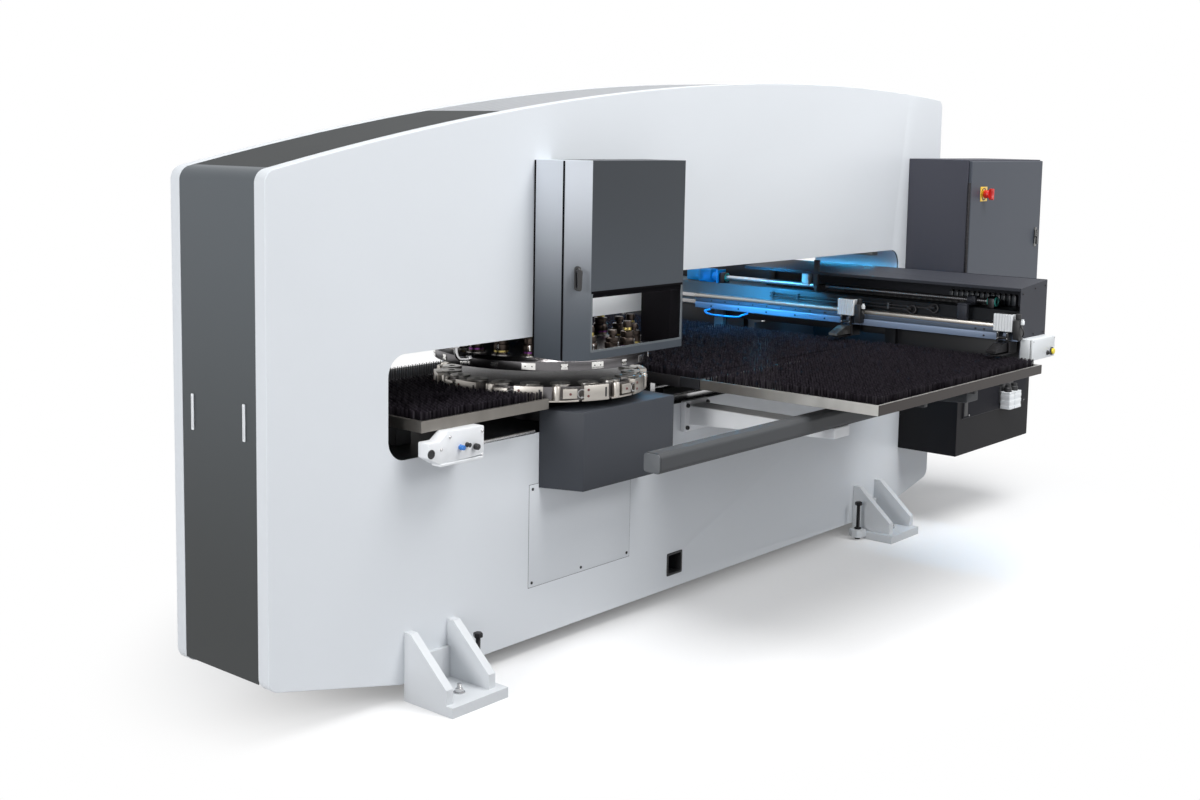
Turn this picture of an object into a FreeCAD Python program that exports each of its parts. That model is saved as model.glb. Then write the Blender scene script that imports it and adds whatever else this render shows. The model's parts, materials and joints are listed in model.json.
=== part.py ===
import FreeCAD, Part
import math
import os
import re
import Sketcher

# Turret punch press with an O-shaped frame, in millimetres.
# +X runs along the frame from the turret end to the feed end, -Y is the operator side and +Z is up.
# The origin lies on the floor, at the centre of the four anchor holes in the feet.
# Stations along the frame are measured from its left end and turned into X by along().

SIZES = {
    # frame and its casing
    "frame_length": 4635,
    "left_reach": 2342,
    "half_width": 263,
    "skin": 4,
    "return_depth": 55,
    "base_clearance": 65,
    "left_end_low": 203,
    "right_end_low": 188,
    "taper_left": 600,
    "taper_right": 4080,
    "arch_radius": 15400,
    "arch_station": 3493,
    "arch_top": 2352,
    "panel_corner": 50,
    "core_inset": 30,
    "seat_gap": 0.3,
    # throat through the frame
    "throat_left": 533,
    "throat_right": 4206,
    "throat_floor": 906,
    "throat_ceiling": 1295,
    "tall_ceiling": 1502,
    "throat_step": 2030,
    "holder_recess_left": 1292,
    "holder_ceiling": 1345,
    "throat_corner": 80,
    "core_recess": 6,
    "ram_recess_left": 1080,
    "ram_ceiling": 1520,
    # end covers, roof and trim
    "cover_inset": 1,
    "cover_low": 218,
    "cover_skin": 3,
    "cover_bend": 60,
    "roof_split": 1160,
    "grip_low": 1047,
    "grip_height": 128,
    "grip_width": 14,
    "grip_depth": 6,
    "grip_offset": 152,
    "hatch_left": 1280,
    "hatch_length": 640,
    "hatch_low": 278,
    "hatch_height": 420,
    "hatch_skin": 2,
    "hatch_screw": 7,
    "hatch_margin": 18,
    "cable_left": 2200,
    "cable_width": 100,
    "cable_low": 130,
    "cable_height": 92,
    "cable_depth": 120,
    "bezel_width": 6,
    # feet
    "foot_station": 756,
    "foot_width": 288,
    "foot_reach": 256,
    "foot_plate": 40,
    "foot_height": 262,
    "gusset_skin": 36,
    "gusset_step": 218,
    "gusset_lip": 96,
    "gusset_crest": 34,
    "foot_web": 120,
    "ear_length": 62,
    "ear_width": 70,
    "ear_corner": 20,
    "jack_radius": 10,
    "jack_head": 19,
    "jack_height": 190,
    "anchor_radius": 11,
    "anchor_inset": 96,
    # guards round the turret
    "guard_left": 1288,
    "guard_right": 1975,
    "guard_low": 1214,
    "guard_top": 1990,
    "guard_seam": 422,
    "guard_front": 480,
    "guard_chamfer": 1378,
    "guard_skin": 4,
    "seam_gap": 0.6,
    "window_left": 1392,
    "window_right": 1963,
    "window_low": 1252,
    "window_top": 1475,
    "hinge_radius": 7,
    "guard_handle_low": 1488,
    "guard_handle_length": 92,
    "guard_handle_width": 26,
    "hinge_length": 80,
    "hinge_inset": 60,
    "hinge_leaf": 22,
    "pedestal_left": 1333,
    "pedestal_corner": 1400,
    "pedestal_right": 1985,
    "pedestal_front": 442,
    "pedestal_top": 1000,
    "pedestal_front_low": 680,
    "pedestal_back_low": 585,
    # turret
    "turret_station": 1629,
    "turret_radius": 452,
    "upper_low": 1160,
    "upper_thickness": 52,
    "hub_radius": 92,
    "hub_top": 1366,
    "lower_low": 1035,
    "lower_thickness": 65,
    "station_circle": 388,
    "station_bore": 32,
    "station_count": 20,
    "punch_fit": 0.3,
    "punch_top": 1330,
    "die_radius": 42,
    "die_depth": 10,
    "die_lift": 4,
    "holder_foot": 2,
    "holder_collar": 76,
    "holder_step": 12,
    "collar_step": 4,
    "drum_step": 20,
    "drum_foot": 24,
    "plate_lift": 4,
    "plate_width": 46,
    "plate_height": 18,
    "plate_skin": 2,
    "bearing_radius": 142,
    "ram_radius": 40,
    "ram_fit": 0.06,
    "ram_low": 1365,
    "ram_top": 1500,
    "ram_wall": 34,
    # brush tables
    "table_low": 1015,
    "table_rim": 42,
    "rim_width": 14,
    "tray_floor": 6,
    "brush_top": 1097,
    "brush_base": 9,
    "brush_pitch": 60,
    "brush_width": 32,
    "left_table_start": 620,
    "left_table_half": 343,
    "turret_clearance": 8,
    "right_table_start": 2100,
    "right_table_end": 3620,
    "table_front": 1355,
    "table_split": 490,
    "table_gap": 4,
    "centre_table_end": 3600,
    "post_half": 40,
    # guide beam outboard of the frame
    "beam_start": 1110,
    "beam_end": 3880,
    "beam_front": 1050,
    "beam_width": 80,
    "beam_low": 895,
    "beam_height": 76,
    "beam_corner": 14,
    "arm_station": 2300,
    "arm_pitch": 1200,
    "arm_width": 120,
    "arm_low": 805,
    "arm_rise": 44,
    "arm_seat": 8,
    "flange_skin": 26,
    "flange_margin": 30,
    "slider_length": 100,
    "slider_start": 2340,
    "slider_pitch": 1140,
    # carriage that runs along the frame
    "rail_start": 2200,
    "rail_end": 4110,
    "rail_offset": 200,
    "rail_width": 34,
    "rail_height": 30,
    "rail_block_width": 80,
    "rail_block_length": 90,
    "rail_block_top": 945,
    "rail_block_lift": 8,
    "bridge_front": 3680,
    "bridge_back": 3892,
    "bridge_half": 1240,
    "bridge_low": 1160,
    "bridge_top": 1290,
    "bridge_wall": 10,
    "saddle_start": 3660,
    "saddle_length": 200,
    "saddle_inner": 150,
    "saddle_top": 985,
    "leg_inner": 500,
    "leg_thickness": 60,
    "drive_nut_half": 27,
    "drive_offset": 110,
    "drive_radius": 16,
    "drive_height": 958,
    # clamp bar and its drive
    "clamp_bar_front": 3600,
    "clamp_bar_width": 46,
    "clamp_bar_low": 1155,
    "clamp_bar_height": 74,
    "clamp_bar_end": 1235,
    "clamp_bar_far": 650,
    "guide_lift": 8,
    "guide_pitch": 44,
    "guide_height": 20,
    "guide_depth": 14,
    "screw_station": 3712,
    "screw_lift": 32,
    "bearing_half": 26,
    "screw_radius": 12,
    "screw_near": 1035,
    "screw_far": 520,
    "bearing_width": 34,
    "nut_station": 946,
    "nut_lift": 12,
    "nut_plate": 10,
    "clamp_near": 1180,
    "clamp_pitch": 850,
    "clamp_width": 70,
    "jaw_tip": 3440,
    "jaw_low": 1099,
    "jaw_plate": 5,
    "jaw_skin": 12,
    "jaw_mouth": 6,
    "jaw_pivot": 3582,
    "pivot_lift": 41,
    "pivot_cover": 11,
    "jaw_heel": 12,
    "jaw_nose": 60,
    "jaw_play": 0.5,
    "ear_skin": 10,
    "ear_overlap": 14,
    "riser_gap": 4,
    "pivot_radius": 6,
    "pivot_fit": 0.05,
    "cylinder_width": 95,
    "cylinder_height": 80,
    "cylinder_depth": 50,
    "shoe_start": 1150,
    "shoe_pitch": 510,
    "shoe_length": 90,
    "shoe_lip": 6,
    "nut_half": 22,
    "nut_length": 50,
    "motor_length": 130,
    "motor_width": 80,
    "motor_height": 72,
    # hood over the bridge
    "hood_front": 3600,
    "hood_front_top": 1406,
    "hood_back_top": 1432,
    "hood_skin": 3,
    "hood_far": 325,
    "hood_plate_low": 1156,
    "hood_lip": 14,
    "box_left": 3620,
    "box_length": 255,
    "box_depth": 62,
    "box_low": 1068,
    "box_height": 100,
    "button_station": 3835,
    "button_height": 1096,
    "button_radius": 14,
    "button_reach": 16,
    # control cabinet
    "cabinet_left": 4280,
    "cabinet_width": 900,
    "cabinet_front": 611,
    "cabinet_low": 400,
    "cabinet_top": 1992,
    "door_skin": 18,
    "door_low": 822,
    "door_margin": 6,
    "switch_left": 4396,
    "switch_low": 1772,
    "switch_plate": 78,
    "latch_left": 5098,
    "latch_low": 1500,
    "latch_height": 110,
    "latch_width": 34,
    "case_wall": 30,
    "switch_radius": 22,
    "switch_reach": 34,
    "grip_length": 60,
    "lower_panel_low": 600,
    "lower_panel_height": 190,
    "lower_panel_inset": 60,
    "valve_left": 4786,
    "valve_length": 150,
    "valve_height": 96,
    "side_box_reach": 70,
    "side_box_low": 612,
    "side_box_height": 188,
    "side_box_inset": 60,
    "spindle_radius": 4,
    "spindle_length": 4,
    # air unit below the left table
    "air_left": 602,
    "air_right": 897,
    "air_low": 878,
    "air_back": 335,
    "air_depth": 56,
    "air_slant": 38,
    "air_slant_rise": 27,
    "air_shoulder": 30,
    "air_step": 58,
    "air_crest": 98,
    "air_rod_height": 943,
    "air_rod_radius": 9,
    "air_knob_station": 840,
    "air_knob_radius": 12,
    "port_station": 622,
    "port_height": 945,
    "port_radius": 17,
    "port_reach": 3,
    "fitting_station": 767,
    "fitting_height": 950,
    "fitting_radius": 11,
    "fitting_reach": 22,
    "stem_station": 800,
    "stem_height": 955,
    "stem_radius": 9,
    "stem_reach": 18,
}


def make_sheet(doc):
    """Spreadsheet that holds every driving dimension as a plain number with an alias."""
    sheet = doc.addObject("Spreadsheet::Sheet", "Sizes")
    for row, (alias, size) in enumerate(SIZES.items(), start=1):
        sheet.set("A%d" % row, alias.replace("_", " "))
        sheet.set("B%d" % row, str(size))
        sheet.setAlias("B%d" % row, alias)
    doc.recompute()
    return sheet


DISC_SIDES = 48
HOLDER_SIDES = 8
NUT_SIDES = 6
FITTING_SIDES = 12
RAM_SIDES = 24

DOC = FreeCAD.newDocument("turret_punch_press")
SHEET = make_sheet(DOC)
NODES = []


def sized(text):
    """Expression in which each alias is read from the sheet."""
    def prefix(word):
        return "Sizes." + word.group() if word.group() in SIZES else word.group()
    return re.sub(r"[a-z_]+", prefix, text)


def number(text):
    """Present value of an expression written with aliases."""
    return float(SHEET.evalExpression(sized(text)))


def along(station):
    """X of a station that is measured from the frame's left end."""
    return "(%s - left_reach)" % station


def tie(thing, **expressions):
    """Bind properties to the sheet; a double underscore stands for a dot."""
    for name, text in expressions.items():
        thing.setExpression(name.replace("__", "."), sized(text))


def keep(thing, label):
    """Give a finished sub-part its node name."""
    thing.Label = label
    NODES.append(thing)
    return thing


# ---------------------------------------------------------------- sketches and body features

def new_body(name, x="0", y="0", z="0"):
    body = DOC.addObject("PartDesign::Body", name)
    tie(body, Placement__Base__x=x, Placement__Base__y=y, Placement__Base__z=z)
    return body


def new_sketch(body, plane, offset):
    """Sketch on one of the body's own origin planes, moved along the plane's normal."""
    sketch = body.newObject("Sketcher::SketchObject", "Outline")
    support = next(item for item in body.Origin.OriginFeatures if item.Role == plane + "_Plane")
    sketch.AttachmentSupport = (support, [""])
    sketch.MapMode = "FlatFace"
    tie(sketch, AttachmentOffset__Base__z=offset)
    return sketch


def fix_point(sketch, geometry, end, u, v):
    """Tie one point of a sketch to two expressions."""
    for kind, text in (("DistanceX", u), ("DistanceY", v)):
        rule = sketch.addConstraint(Sketcher.Constraint(kind, -1, 1, geometry, end, number(text)))
        sketch.setExpression("Constraints[%d]" % rule, sized(text))


def fix_radius(sketch, geometry, text):
    rule = sketch.addConstraint(Sketcher.Constraint("Radius", geometry, number(text)))
    sketch.setExpression("Constraints[%d]" % rule, sized(text))


def corner_ends(before, here, after, radius):
    """Points where a rounding meets its two sides, with its centre and turning sense."""
    back = (before - here).normalize()
    ahead = (after - here).normalize()
    half = back.getAngle(ahead) / 2
    reach = radius / math.tan(half)
    middle = (back + ahead).normalize()
    turn = back.cross(ahead).z
    return here + back * reach, here + ahead * reach, here + middle * (radius / math.sin(half)), turn


def closed_outline(body, plane, corners, offset="0"):
    """Closed outline of straight sides; a corner is (u, v) or (u, v, radius) in expressions."""
    sketch = new_sketch(body, plane, offset)
    points = [FreeCAD.Vector(number(corner[0]), number(corner[1]), 0) for corner in corners]
    count = len(points)
    starts = []
    finishes = []
    arcs = {}
    for index, corner in enumerate(corners):
        entry = leave = points[index]
        if len(corner) == 3:
            radius = number(corner[2])
            after = points[(index + 1) % count]
            entry, leave, centre, turn = corner_ends(points[index - 1], points[index], after, radius)
            first, last = (entry, leave) if turn < 0 else (leave, entry)
            begin = math.atan2(first.y - centre.y, first.x - centre.x)
            end = math.atan2(last.y - centre.y, last.x - centre.x)
            circle = Part.Circle(centre, FreeCAD.Vector(0, 0, 1), radius)
            arcs[index] = (Part.ArcOfCircle(circle, begin, end), turn < 0)
        finishes.append(entry)
        starts.append(leave)
    sides = [sketch.addGeometry(Part.LineSegment(starts[index], finishes[(index + 1) % count]))
             for index in range(count)]
    for index, corner in enumerate(corners):
        side_in, side_out = sides[index - 1], sides[index]
        if index not in arcs:
            sketch.addConstraint(Sketcher.Constraint("Coincident", side_in, 2, side_out, 1))
            fix_point(sketch, side_out, 1, corner[0], corner[1])
            continue
        shape, forward = arcs[index]
        arc = sketch.addGeometry(shape)
        arc_in, arc_out = (1, 2) if forward else (2, 1)
        sketch.addConstraint(Sketcher.Constraint("Tangent", side_in, 2, arc, arc_in))
        sketch.addConstraint(Sketcher.Constraint("Tangent", side_out, 1, arc, arc_out))
        fix_radius(sketch, arc, corner[2])
        apex = sketch.addGeometry(Part.Point(points[index]), True)
        fix_point(sketch, apex, 1, corner[0], corner[1])
        sketch.addConstraint(Sketcher.Constraint("PointOnObject", apex, 1, side_in))
        sketch.addConstraint(Sketcher.Constraint("PointOnObject", apex, 1, side_out))
    return sketch


def polygon_corners(u, v, radius, sides):
    """Corners of an even polygon for closed_outline."""
    turns = [360 * (index + 0.5) / sides for index in range(sides)]
    return [("(%s + %s * cos(%s))" % (u, radius, turn), "(%s + %s * sin(%s))" % (v, radius, turn))
            for turn in turns]


def round_outline(body, plane, circles, offset="0"):
    """Sketch of whole circles, each (u, v, radius) in expressions."""
    sketch = new_sketch(body, plane, offset)
    for u, v, radius in circles:
        centre = FreeCAD.Vector(number(u), number(v), 0)
        ring = sketch.addGeometry(Part.Circle(centre, FreeCAD.Vector(0, 0, 1), number(radius)))
        fix_point(sketch, ring, 3, u, v)
        fix_radius(sketch, ring, radius)
    return sketch


def rectangle(u_low, u_high, v_low, v_high):
    """Corners of a rectangle for closed_outline."""
    return [(u_low, v_low), (u_high, v_low), (u_high, v_high), (u_low, v_high)]


def pad(body, sketch, length, reverse=False):
    feature = body.newObject("PartDesign::Pad", "Pad")
    feature.Profile = sketch
    feature.Reversed = reverse
    tie(feature, Length=length)
    DOC.recompute()
    return feature


def pocket(body, sketch, length, reverse=False):
    """Pocket that has to remove material; it cuts against the sketch's normal unless reversed."""
    before = body.Shape.Volume
    feature = body.newObject("PartDesign::Pocket", "Pocket")
    feature.Profile = sketch
    feature.Reversed = reverse
    tie(feature, Length=length)
    DOC.recompute()
    if not body.Shape.Volume < before:
        raise RuntimeError("A pocket in %s cuts nothing" % body.Name)
    return feature


def polar_pattern(body, feature, count):
    """Repeat a feature evenly about the body's own Z axis."""
    pattern = body.newObject("PartDesign::PolarPattern", "Ring")
    pattern.Originals = [feature]
    pattern.Axis = (next(item for item in body.Origin.OriginFeatures if item.Role == "Z_Axis"), [""])
    pattern.Angle = 360
    tie(pattern, Occurrences=count)
    body.Tip = pattern
    DOC.recompute()
    return pattern


def linear_pattern(body, feature, axis, length, count):
    """Repeat a feature evenly over a length along one of the body's own axes."""
    pattern = body.newObject("PartDesign::LinearPattern", "Row")
    pattern.Originals = [feature]
    direction = next(item for item in body.Origin.OriginFeatures if item.Role == axis + "_Axis")
    pattern.Direction = (direction, [""])
    tie(pattern, Length=length)
    pattern.Occurrences = count
    body.Tip = pattern
    DOC.recompute()
    return pattern


def edges_along(shape, direction):
    """Names of the straight edges that run along a direction."""
    names = []
    for index, edge in enumerate(shape.Edges, start=1):
        if edge.Curve.TypeId == "Part::GeomLine":
            if abs(edge.tangentAt(edge.FirstParameter).dot(direction)) > 0.9999:
                names.append("Edge%d" % index)
    return names


def round_edges(body, base, names, radius):
    feature = body.newObject("PartDesign::Fillet", "Fillet")
    feature.Base = (base, names)
    tie(feature, Radius=radius)
    DOC.recompute()
    return feature


def faces_at(shape, axis, place):
    """Names of the flat faces that lie across an axis at a place."""
    names = []
    for index, face in enumerate(shape.Faces, start=1):
        box = face.BoundBox
        low, high = getattr(box, axis + "Min"), getattr(box, axis + "Max")
        if high - low < 1e-4 and abs(high - place) < 1e-3:
            names.append("Face%d" % index)
    return names


def hollow(body, base, names, skin):
    """Shell a body inwards, leaving the named faces open."""
    feature = body.newObject("PartDesign::Thickness", "Shell")
    feature.Base = (base, names)
    feature.Reversed = True
    tie(feature, Value=skin)
    DOC.recompute()
    return feature


# ---------------------------------------------------------------- primitives and booleans

def block(name, x, y, z, length, width, height):
    """Box from its low corner and its three sizes."""
    item = DOC.addObject("Part::Box", name)
    tie(item, Length=length, Width=width, Height=height)
    tie(item, Placement__Base__x=x, Placement__Base__y=y, Placement__Base__z=z)
    return item


TURNS = {"X": ((0, 1, 0), 90), "Y": ((1, 0, 0), -90), "Z": ((0, 0, 1), 0)}


def rod(name, axis, x, y, z, radius, length, sides=0):
    """Cylinder that starts at a point and runs along a positive axis, or a prism where it has sides."""
    item = DOC.addObject("Part::Prism" if sides else "Part::Cylinder", name)
    direction, angle = TURNS[axis]
    item.Placement.Rotation = FreeCAD.Rotation(FreeCAD.Vector(*direction), angle)
    if sides:
        item.Polygon = sides
        tie(item, Circumradius=radius, Height=length)
    else:
        tie(item, Radius=radius, Height=length)
    tie(item, Placement__Base__x=x, Placement__Base__y=y, Placement__Base__z=z)
    return item


def fuse(name, pieces):
    item = DOC.addObject("Part::MultiFuse", name)
    item.Shapes = pieces
    item.Refine = True
    return item


def cut(name, base, tools):
    item = DOC.addObject("Part::Cut", name)
    item.Base = base
    item.Tool = tools[0] if len(tools) == 1 else fuse(name + "_tools", tools)
    item.Refine = True
    return item


def group(name, pieces):
    """Several loose solids that share one node."""
    item = DOC.addObject("Part::Compound", name)
    item.Links = pieces
    return item


def mirror(name, source, normal):
    item = DOC.addObject("Part::Mirroring", name)
    item.Source = source
    item.Normal = FreeCAD.Vector(*normal)
    return item


def both_sides(name, front):
    """A piece on the operator side and its mirror image behind the frame."""
    pieces = front if isinstance(front, list) else [front]
    return pieces + [mirror(name + "_rear", piece, (0, 1, 0)) for piece in pieces]


def front_and_rear(label, front):
    """Keep a piece on the operator side and its mirror image behind the frame."""
    keep(front, "front_" + label)
    keep(mirror("rear_" + label, front, (0, 1, 0)), "rear_" + label)


# ---------------------------------------------------------------- frame and casing

def frame_outline(body, inset, offset):
    """The frame's side view: flat base, tapered ends and a long shallow arch on top."""
    sketch = new_sketch(body, "XZ", offset)
    left = along(inset)
    right = along("(frame_length - %s)" % inset)
    radius = "(arch_radius - %s)" % inset
    arch_z = "(arch_top - arch_radius)"
    low = "(base_clearance + %s)" % inset
    corners = [(left, "(left_end_low + %s)" % inset), (along("taper_left"), low), (along("taper_right"), low),
               (right, "(right_end_low + %s)" % inset)]
    points = [FreeCAD.Vector(number(u), number(v), 0) for u, v in corners]
    centre = FreeCAD.Vector(number(along("arch_station")), number(arch_z), 0)
    rise = [math.sqrt(number(radius) ** 2 - (x - centre.x) ** 2) for x in (number(right), number(left))]
    crown = [FreeCAD.Vector(x, centre.y + z, 0) for x, z in zip((number(right), number(left)), rise)]
    path = points + crown
    sides = [sketch.addGeometry(Part.LineSegment(path[index], path[index + 1])) for index in range(4)]
    angles = [math.atan2(point.y - centre.y, point.x - centre.x) for point in crown]
    circle = Part.Circle(centre, FreeCAD.Vector(0, 0, 1), number(radius))
    arch = sketch.addGeometry(Part.ArcOfCircle(circle, angles[0], angles[1]))
    last = sketch.addGeometry(Part.LineSegment(crown[1], points[0]))
    chain = sides + [arch, last]
    for index, item in enumerate(chain):
        sketch.addConstraint(Sketcher.Constraint("Coincident", item, 2, chain[(index + 1) % len(chain)], 1))
    for index, (u, v) in enumerate(corners):
        fix_point(sketch, sides[index], 1, u, v)
    fix_point(sketch, arch, 3, along("arch_station"), arch_z)
    fix_radius(sketch, arch, radius)
    sketch.addConstraint(Sketcher.Constraint("Vertical", sides[3]))
    sketch.addConstraint(Sketcher.Constraint("Vertical", last))
    return sketch


def frame_weldment():
    """Heavy O-frame behind the casing, with the throat and the deeper recess above the turret."""
    body = new_body("Weldment")
    half = "(half_width - skin - seat_gap)"
    pad(body, frame_outline(body, "core_inset", "-" + half), "2 * " + half)
    left, right = along("(throat_left - core_recess)"), along("(throat_right + core_recess)")
    floor, ceiling = "(throat_floor - core_recess)", "(throat_ceiling + core_recess)"
    recess = along("ram_recess_left")
    throat = [(left, floor, "throat_corner"), (right, floor, "throat_corner"),
              (right, "ram_ceiling", "throat_corner"), (recess, "ram_ceiling"), (recess, ceiling),
              (left, ceiling, "throat_corner")]
    pocket(body, closed_outline(body, "XZ", throat, "half_width"), "2 * half_width")
    pocket(body, closed_outline(body, "XZ", cable_inlet(), "half_width"), "cable_depth")
    keep(body, "frame_weldment")


def cable_inlet():
    """Corners of the rectangular cable inlet low on the front."""
    return rectangle(along("cable_left"), along("(cable_left + cable_width)"), "cable_low",
                     "(cable_low + cable_height)")


def side_panel(label, side):
    """Folded casing panel: outline with a return flange all round and the throat cut through it."""
    body = new_body("Panel")
    front = side < 0
    inner = "(half_width - return_depth)"
    outline = frame_outline(body, "0", inner if front else "-" + inner)
    base = pad(body, outline, "return_depth", reverse=not front)
    base = round_edges(body, base, edges_along(base.Shape, FreeCAD.Vector(0, 1, 0)), "panel_corner")
    hollow(body, base, faces_at(base.Shape, "Y", side * number(inner)), "skin")
    left, right = along("throat_left"), along("throat_right")
    throat = [(left, "throat_floor", "throat_corner"), (right, "throat_floor", "throat_corner"),
              (right, "tall_ceiling", "throat_corner"), (along("throat_step"), "tall_ceiling"),
              (along("throat_step"), "holder_ceiling"), (along("holder_recess_left"), "holder_ceiling"),
              (along("holder_recess_left"), "throat_ceiling"), (left, "throat_ceiling", "throat_corner")]
    outer = "(half_width + skin)"
    opening = closed_outline(body, "XZ", throat, outer if front else "-" + outer)
    pocket(body, opening, "3 * skin", reverse=not front)
    if front:
        pocket(body, closed_outline(body, "XZ", cable_inlet(), outer), "3 * skin")
    keep(body, label)


def roof_strip(name, start, finish, inset, skin, half):
    """Curved strip under the arch, between two stations."""
    outer = rod(name + "_outer", "Y", along("arch_station"), "-" + half, "(arch_top - arch_radius)",
                "(arch_radius - %s)" % inset, "2 * " + half)
    inner = rod(name + "_inner", "Y", along("arch_station"), "-" + half, "(arch_top - arch_radius)",
                "(arch_radius - %s - %s)" % (inset, skin), "2 * " + half)
    band = cut(name + "_band", outer, [inner])
    slab = block(name + "_slab", along(start), "-" + half, "arch_top / 2", "(%s - %s)" % (finish, start),
                 "2 * " + half, "arch_top")
    strip = DOC.addObject("Part::Common", name)
    strip.Base = band
    strip.Tool = slab
    return strip


def casing():
    """Side panels, roof, end covers, grips, hatch and cable inlet."""
    side_panel("front_side_panel", -1)
    side_panel("rear_side_panel", 1)
    half = "(half_width - return_depth - seat_gap)"
    dark = roof_strip("Dark_roof", "(cover_inset + cover_bend)", "(roof_split - seat_gap)", "cover_inset",
                      "cover_skin", half)
    keep(dark, "roof_cover_front")
    light = roof_strip("Light_roof", "roof_split", "(frame_length - cover_inset - cover_bend)", "cover_inset",
                       "cover_skin", half)
    keep(light, "roof_cover_rear")
    keep(group("End_covers", [end_cover(left=True), end_cover(left=False)]), "end_covers")
    grips = []
    for place in ("-grip_offset", "(grip_offset - grip_width)"):
        grips.append(block("Grip", along("(cover_inset - grip_depth)"), place, "grip_low", "grip_depth",
                           "grip_width", "grip_height"))
    keep(group("Grips", grips), "end_cover_grips")
    pieces = hatch()
    outer = block("Bezel", along("(cable_left - bezel_width)"), "-(half_width + bezel_width / 2)",
                  "(cable_low - bezel_width)", "(cable_width + 2 * bezel_width)", "bezel_width / 2",
                  "(cable_height + 2 * bezel_width)")
    mouth = block("Bezel_mouth", along("(cable_left + bezel_width)"), "-2 * half_width",
                  "(cable_low + bezel_width)", "(cable_width - 2 * bezel_width)", "2 * half_width",
                  "(cable_height - 2 * bezel_width)")
    pieces.append(cut("Cable_bezel", outer, [mouth]))
    keep(group("Hatch_and_bezel", pieces), "access_hatch")


def end_cover(left):
    """Folded sheet that closes one end of the frame and bends over into the roof."""
    body = new_body("End_cover")
    half = "(half_width - return_depth - seat_gap)"
    low = "cover_low" if left else "(right_end_low + cover_low - left_end_low)"
    near = "cover_inset" if left else "(frame_length - cover_inset)"
    sense = "+" if left else "-"
    inner = "(%s %s cover_skin)" % (near, sense)
    reach = "(%s %s cover_bend)" % (near, sense)
    crown = "(arch_top - arch_radius + sqrt((arch_radius - cover_inset) ^ 2 - (%s - arch_station) ^ 2))"
    top = crown % reach
    peak = crown % near
    bend = "(panel_corner - cover_inset)"
    corners = [(along(near), low), (along(inner), low),
               (along(inner), "(%s - cover_skin)" % peak, "(%s - cover_skin)" % bend),
               (along(reach), "(%s - cover_skin)" % top), (along(reach), top), (along(near), peak, bend)]
    pad(body, closed_outline(body, "XZ", corners, "-" + half), "2 * " + half)
    return body


def hatch():
    """Service hatch low on the front panel, and its screws."""
    plate = block("Hatch", along("hatch_left"), "-(half_width + hatch_skin)", "hatch_low", "hatch_length",
                  "hatch_skin", "hatch_height")
    pieces = [plate]
    lower, upper = "(hatch_low + hatch_margin)", "(hatch_low + hatch_height - 2 * hatch_margin)"
    places = [("hatch_margin", lower), ("hatch_length / 2", lower), ("(hatch_length - hatch_margin)", lower),
              ("hatch_margin", upper)]
    for column, row in places:
        pieces.append(rod("Hatch_screw", "Y", along("(hatch_left + %s)" % column),
                          "-(half_width + hatch_skin + hatch_screw / 3)", row, "hatch_screw",
                          "hatch_screw / 3", NUT_SIDES))
    return pieces


# ---------------------------------------------------------------- feet

def foot():
    """Cast foot at the front left: base plate, low web, two sloping gussets and an ear for the jack screw."""
    body = new_body("Foot", along("(foot_station - foot_width / 2)"), "-half_width", "0")
    pad(body, closed_outline(body, "XY", rectangle("0", "foot_width", "-foot_reach", "0")), "foot_plate")
    gusset = [("0", "foot_plate"), ("-(foot_reach - gusset_crest)", "foot_plate"),
              ("-(foot_reach - gusset_crest)", "gusset_lip"),
              ("-(gusset_crest + gusset_skin / 4)", "(foot_height - gusset_skin / 4)"),
              ("-gusset_crest", "foot_height"), ("0", "foot_height")]
    for start in ("0", "gusset_step"):
        pad(body, closed_outline(body, "YZ", gusset, start), "gusset_skin")
    web = rectangle("0", "(gusset_step + gusset_skin)", "-gusset_skin / 2", "0")
    pad(body, closed_outline(body, "XY", web, "foot_plate"), "foot_web")
    tip = "(foot_width + ear_length)"
    ear = [("foot_width", "-(gusset_crest + ear_width)"),
           (tip + " - ear_corner", "-(gusset_crest + ear_width)"),
           (tip, "-(gusset_crest + ear_width - ear_corner)"), (tip, "-(gusset_crest + ear_corner)"),
           (tip + " - ear_corner", "-gusset_crest"), ("foot_width", "-gusset_crest")]
    pad(body, closed_outline(body, "XY", ear, "foot_plate / 3"), "foot_plate")
    anchor = ("(gusset_step + gusset_skin) / 2", "-(foot_reach - anchor_inset)", "anchor_radius")
    pocket(body, round_outline(body, "XY", [anchor], "(foot_plate + 1)"), "(foot_plate + 2)")
    jack = polygon_corners("(foot_width + ear_length - ear_width / 2)", "-(gusset_crest + ear_width / 2)",
                           "(jack_radius + seat_gap)", HOLDER_SIDES)
    pocket(body, closed_outline(body, "XY", jack, "2 * foot_plate"), "2 * foot_plate")
    return body


def jack_screw():
    """Levelling screw with a hexagon head and nut, standing in the ear of the front left foot."""
    x = along("(foot_station + foot_width / 2 + ear_length - ear_width / 2)")
    y = "-(half_width + gusset_crest + ear_width / 2)"
    shank = rod("Jack_shank", "Z", x, y, "1", "jack_radius", "(jack_height - 1)", HOLDER_SIDES)
    shank.Placement.Rotation = FreeCAD.Rotation(FreeCAD.Vector(0, 0, 1), 180 / HOLDER_SIDES)
    head = rod("Jack_head", "Z", x, y, "(jack_height - jack_head / 2)", "jack_head", "jack_head", NUT_SIDES)
    nut = rod("Jack_nut", "Z", x, y, "(foot_plate / 3 + foot_plate)", "jack_head", "jack_head / 2", NUT_SIDES)
    return fuse("Jack", [shank, head, nut])


def feet():
    """Four feet in mirror pairs, with their jack screws."""
    front_left = foot()
    front_right = mirror("Foot_right", front_left, (1, 0, 0))
    keep(group("Feet", both_sides("Foot", [front_left, front_right])), "feet")
    first = jack_screw()
    second = mirror("Jack_right", first, (1, 0, 0))
    keep(group("Jacks", both_sides("Jack", [first, second])), "levelling_screws")


# ---------------------------------------------------------------- guards round the turret

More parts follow.
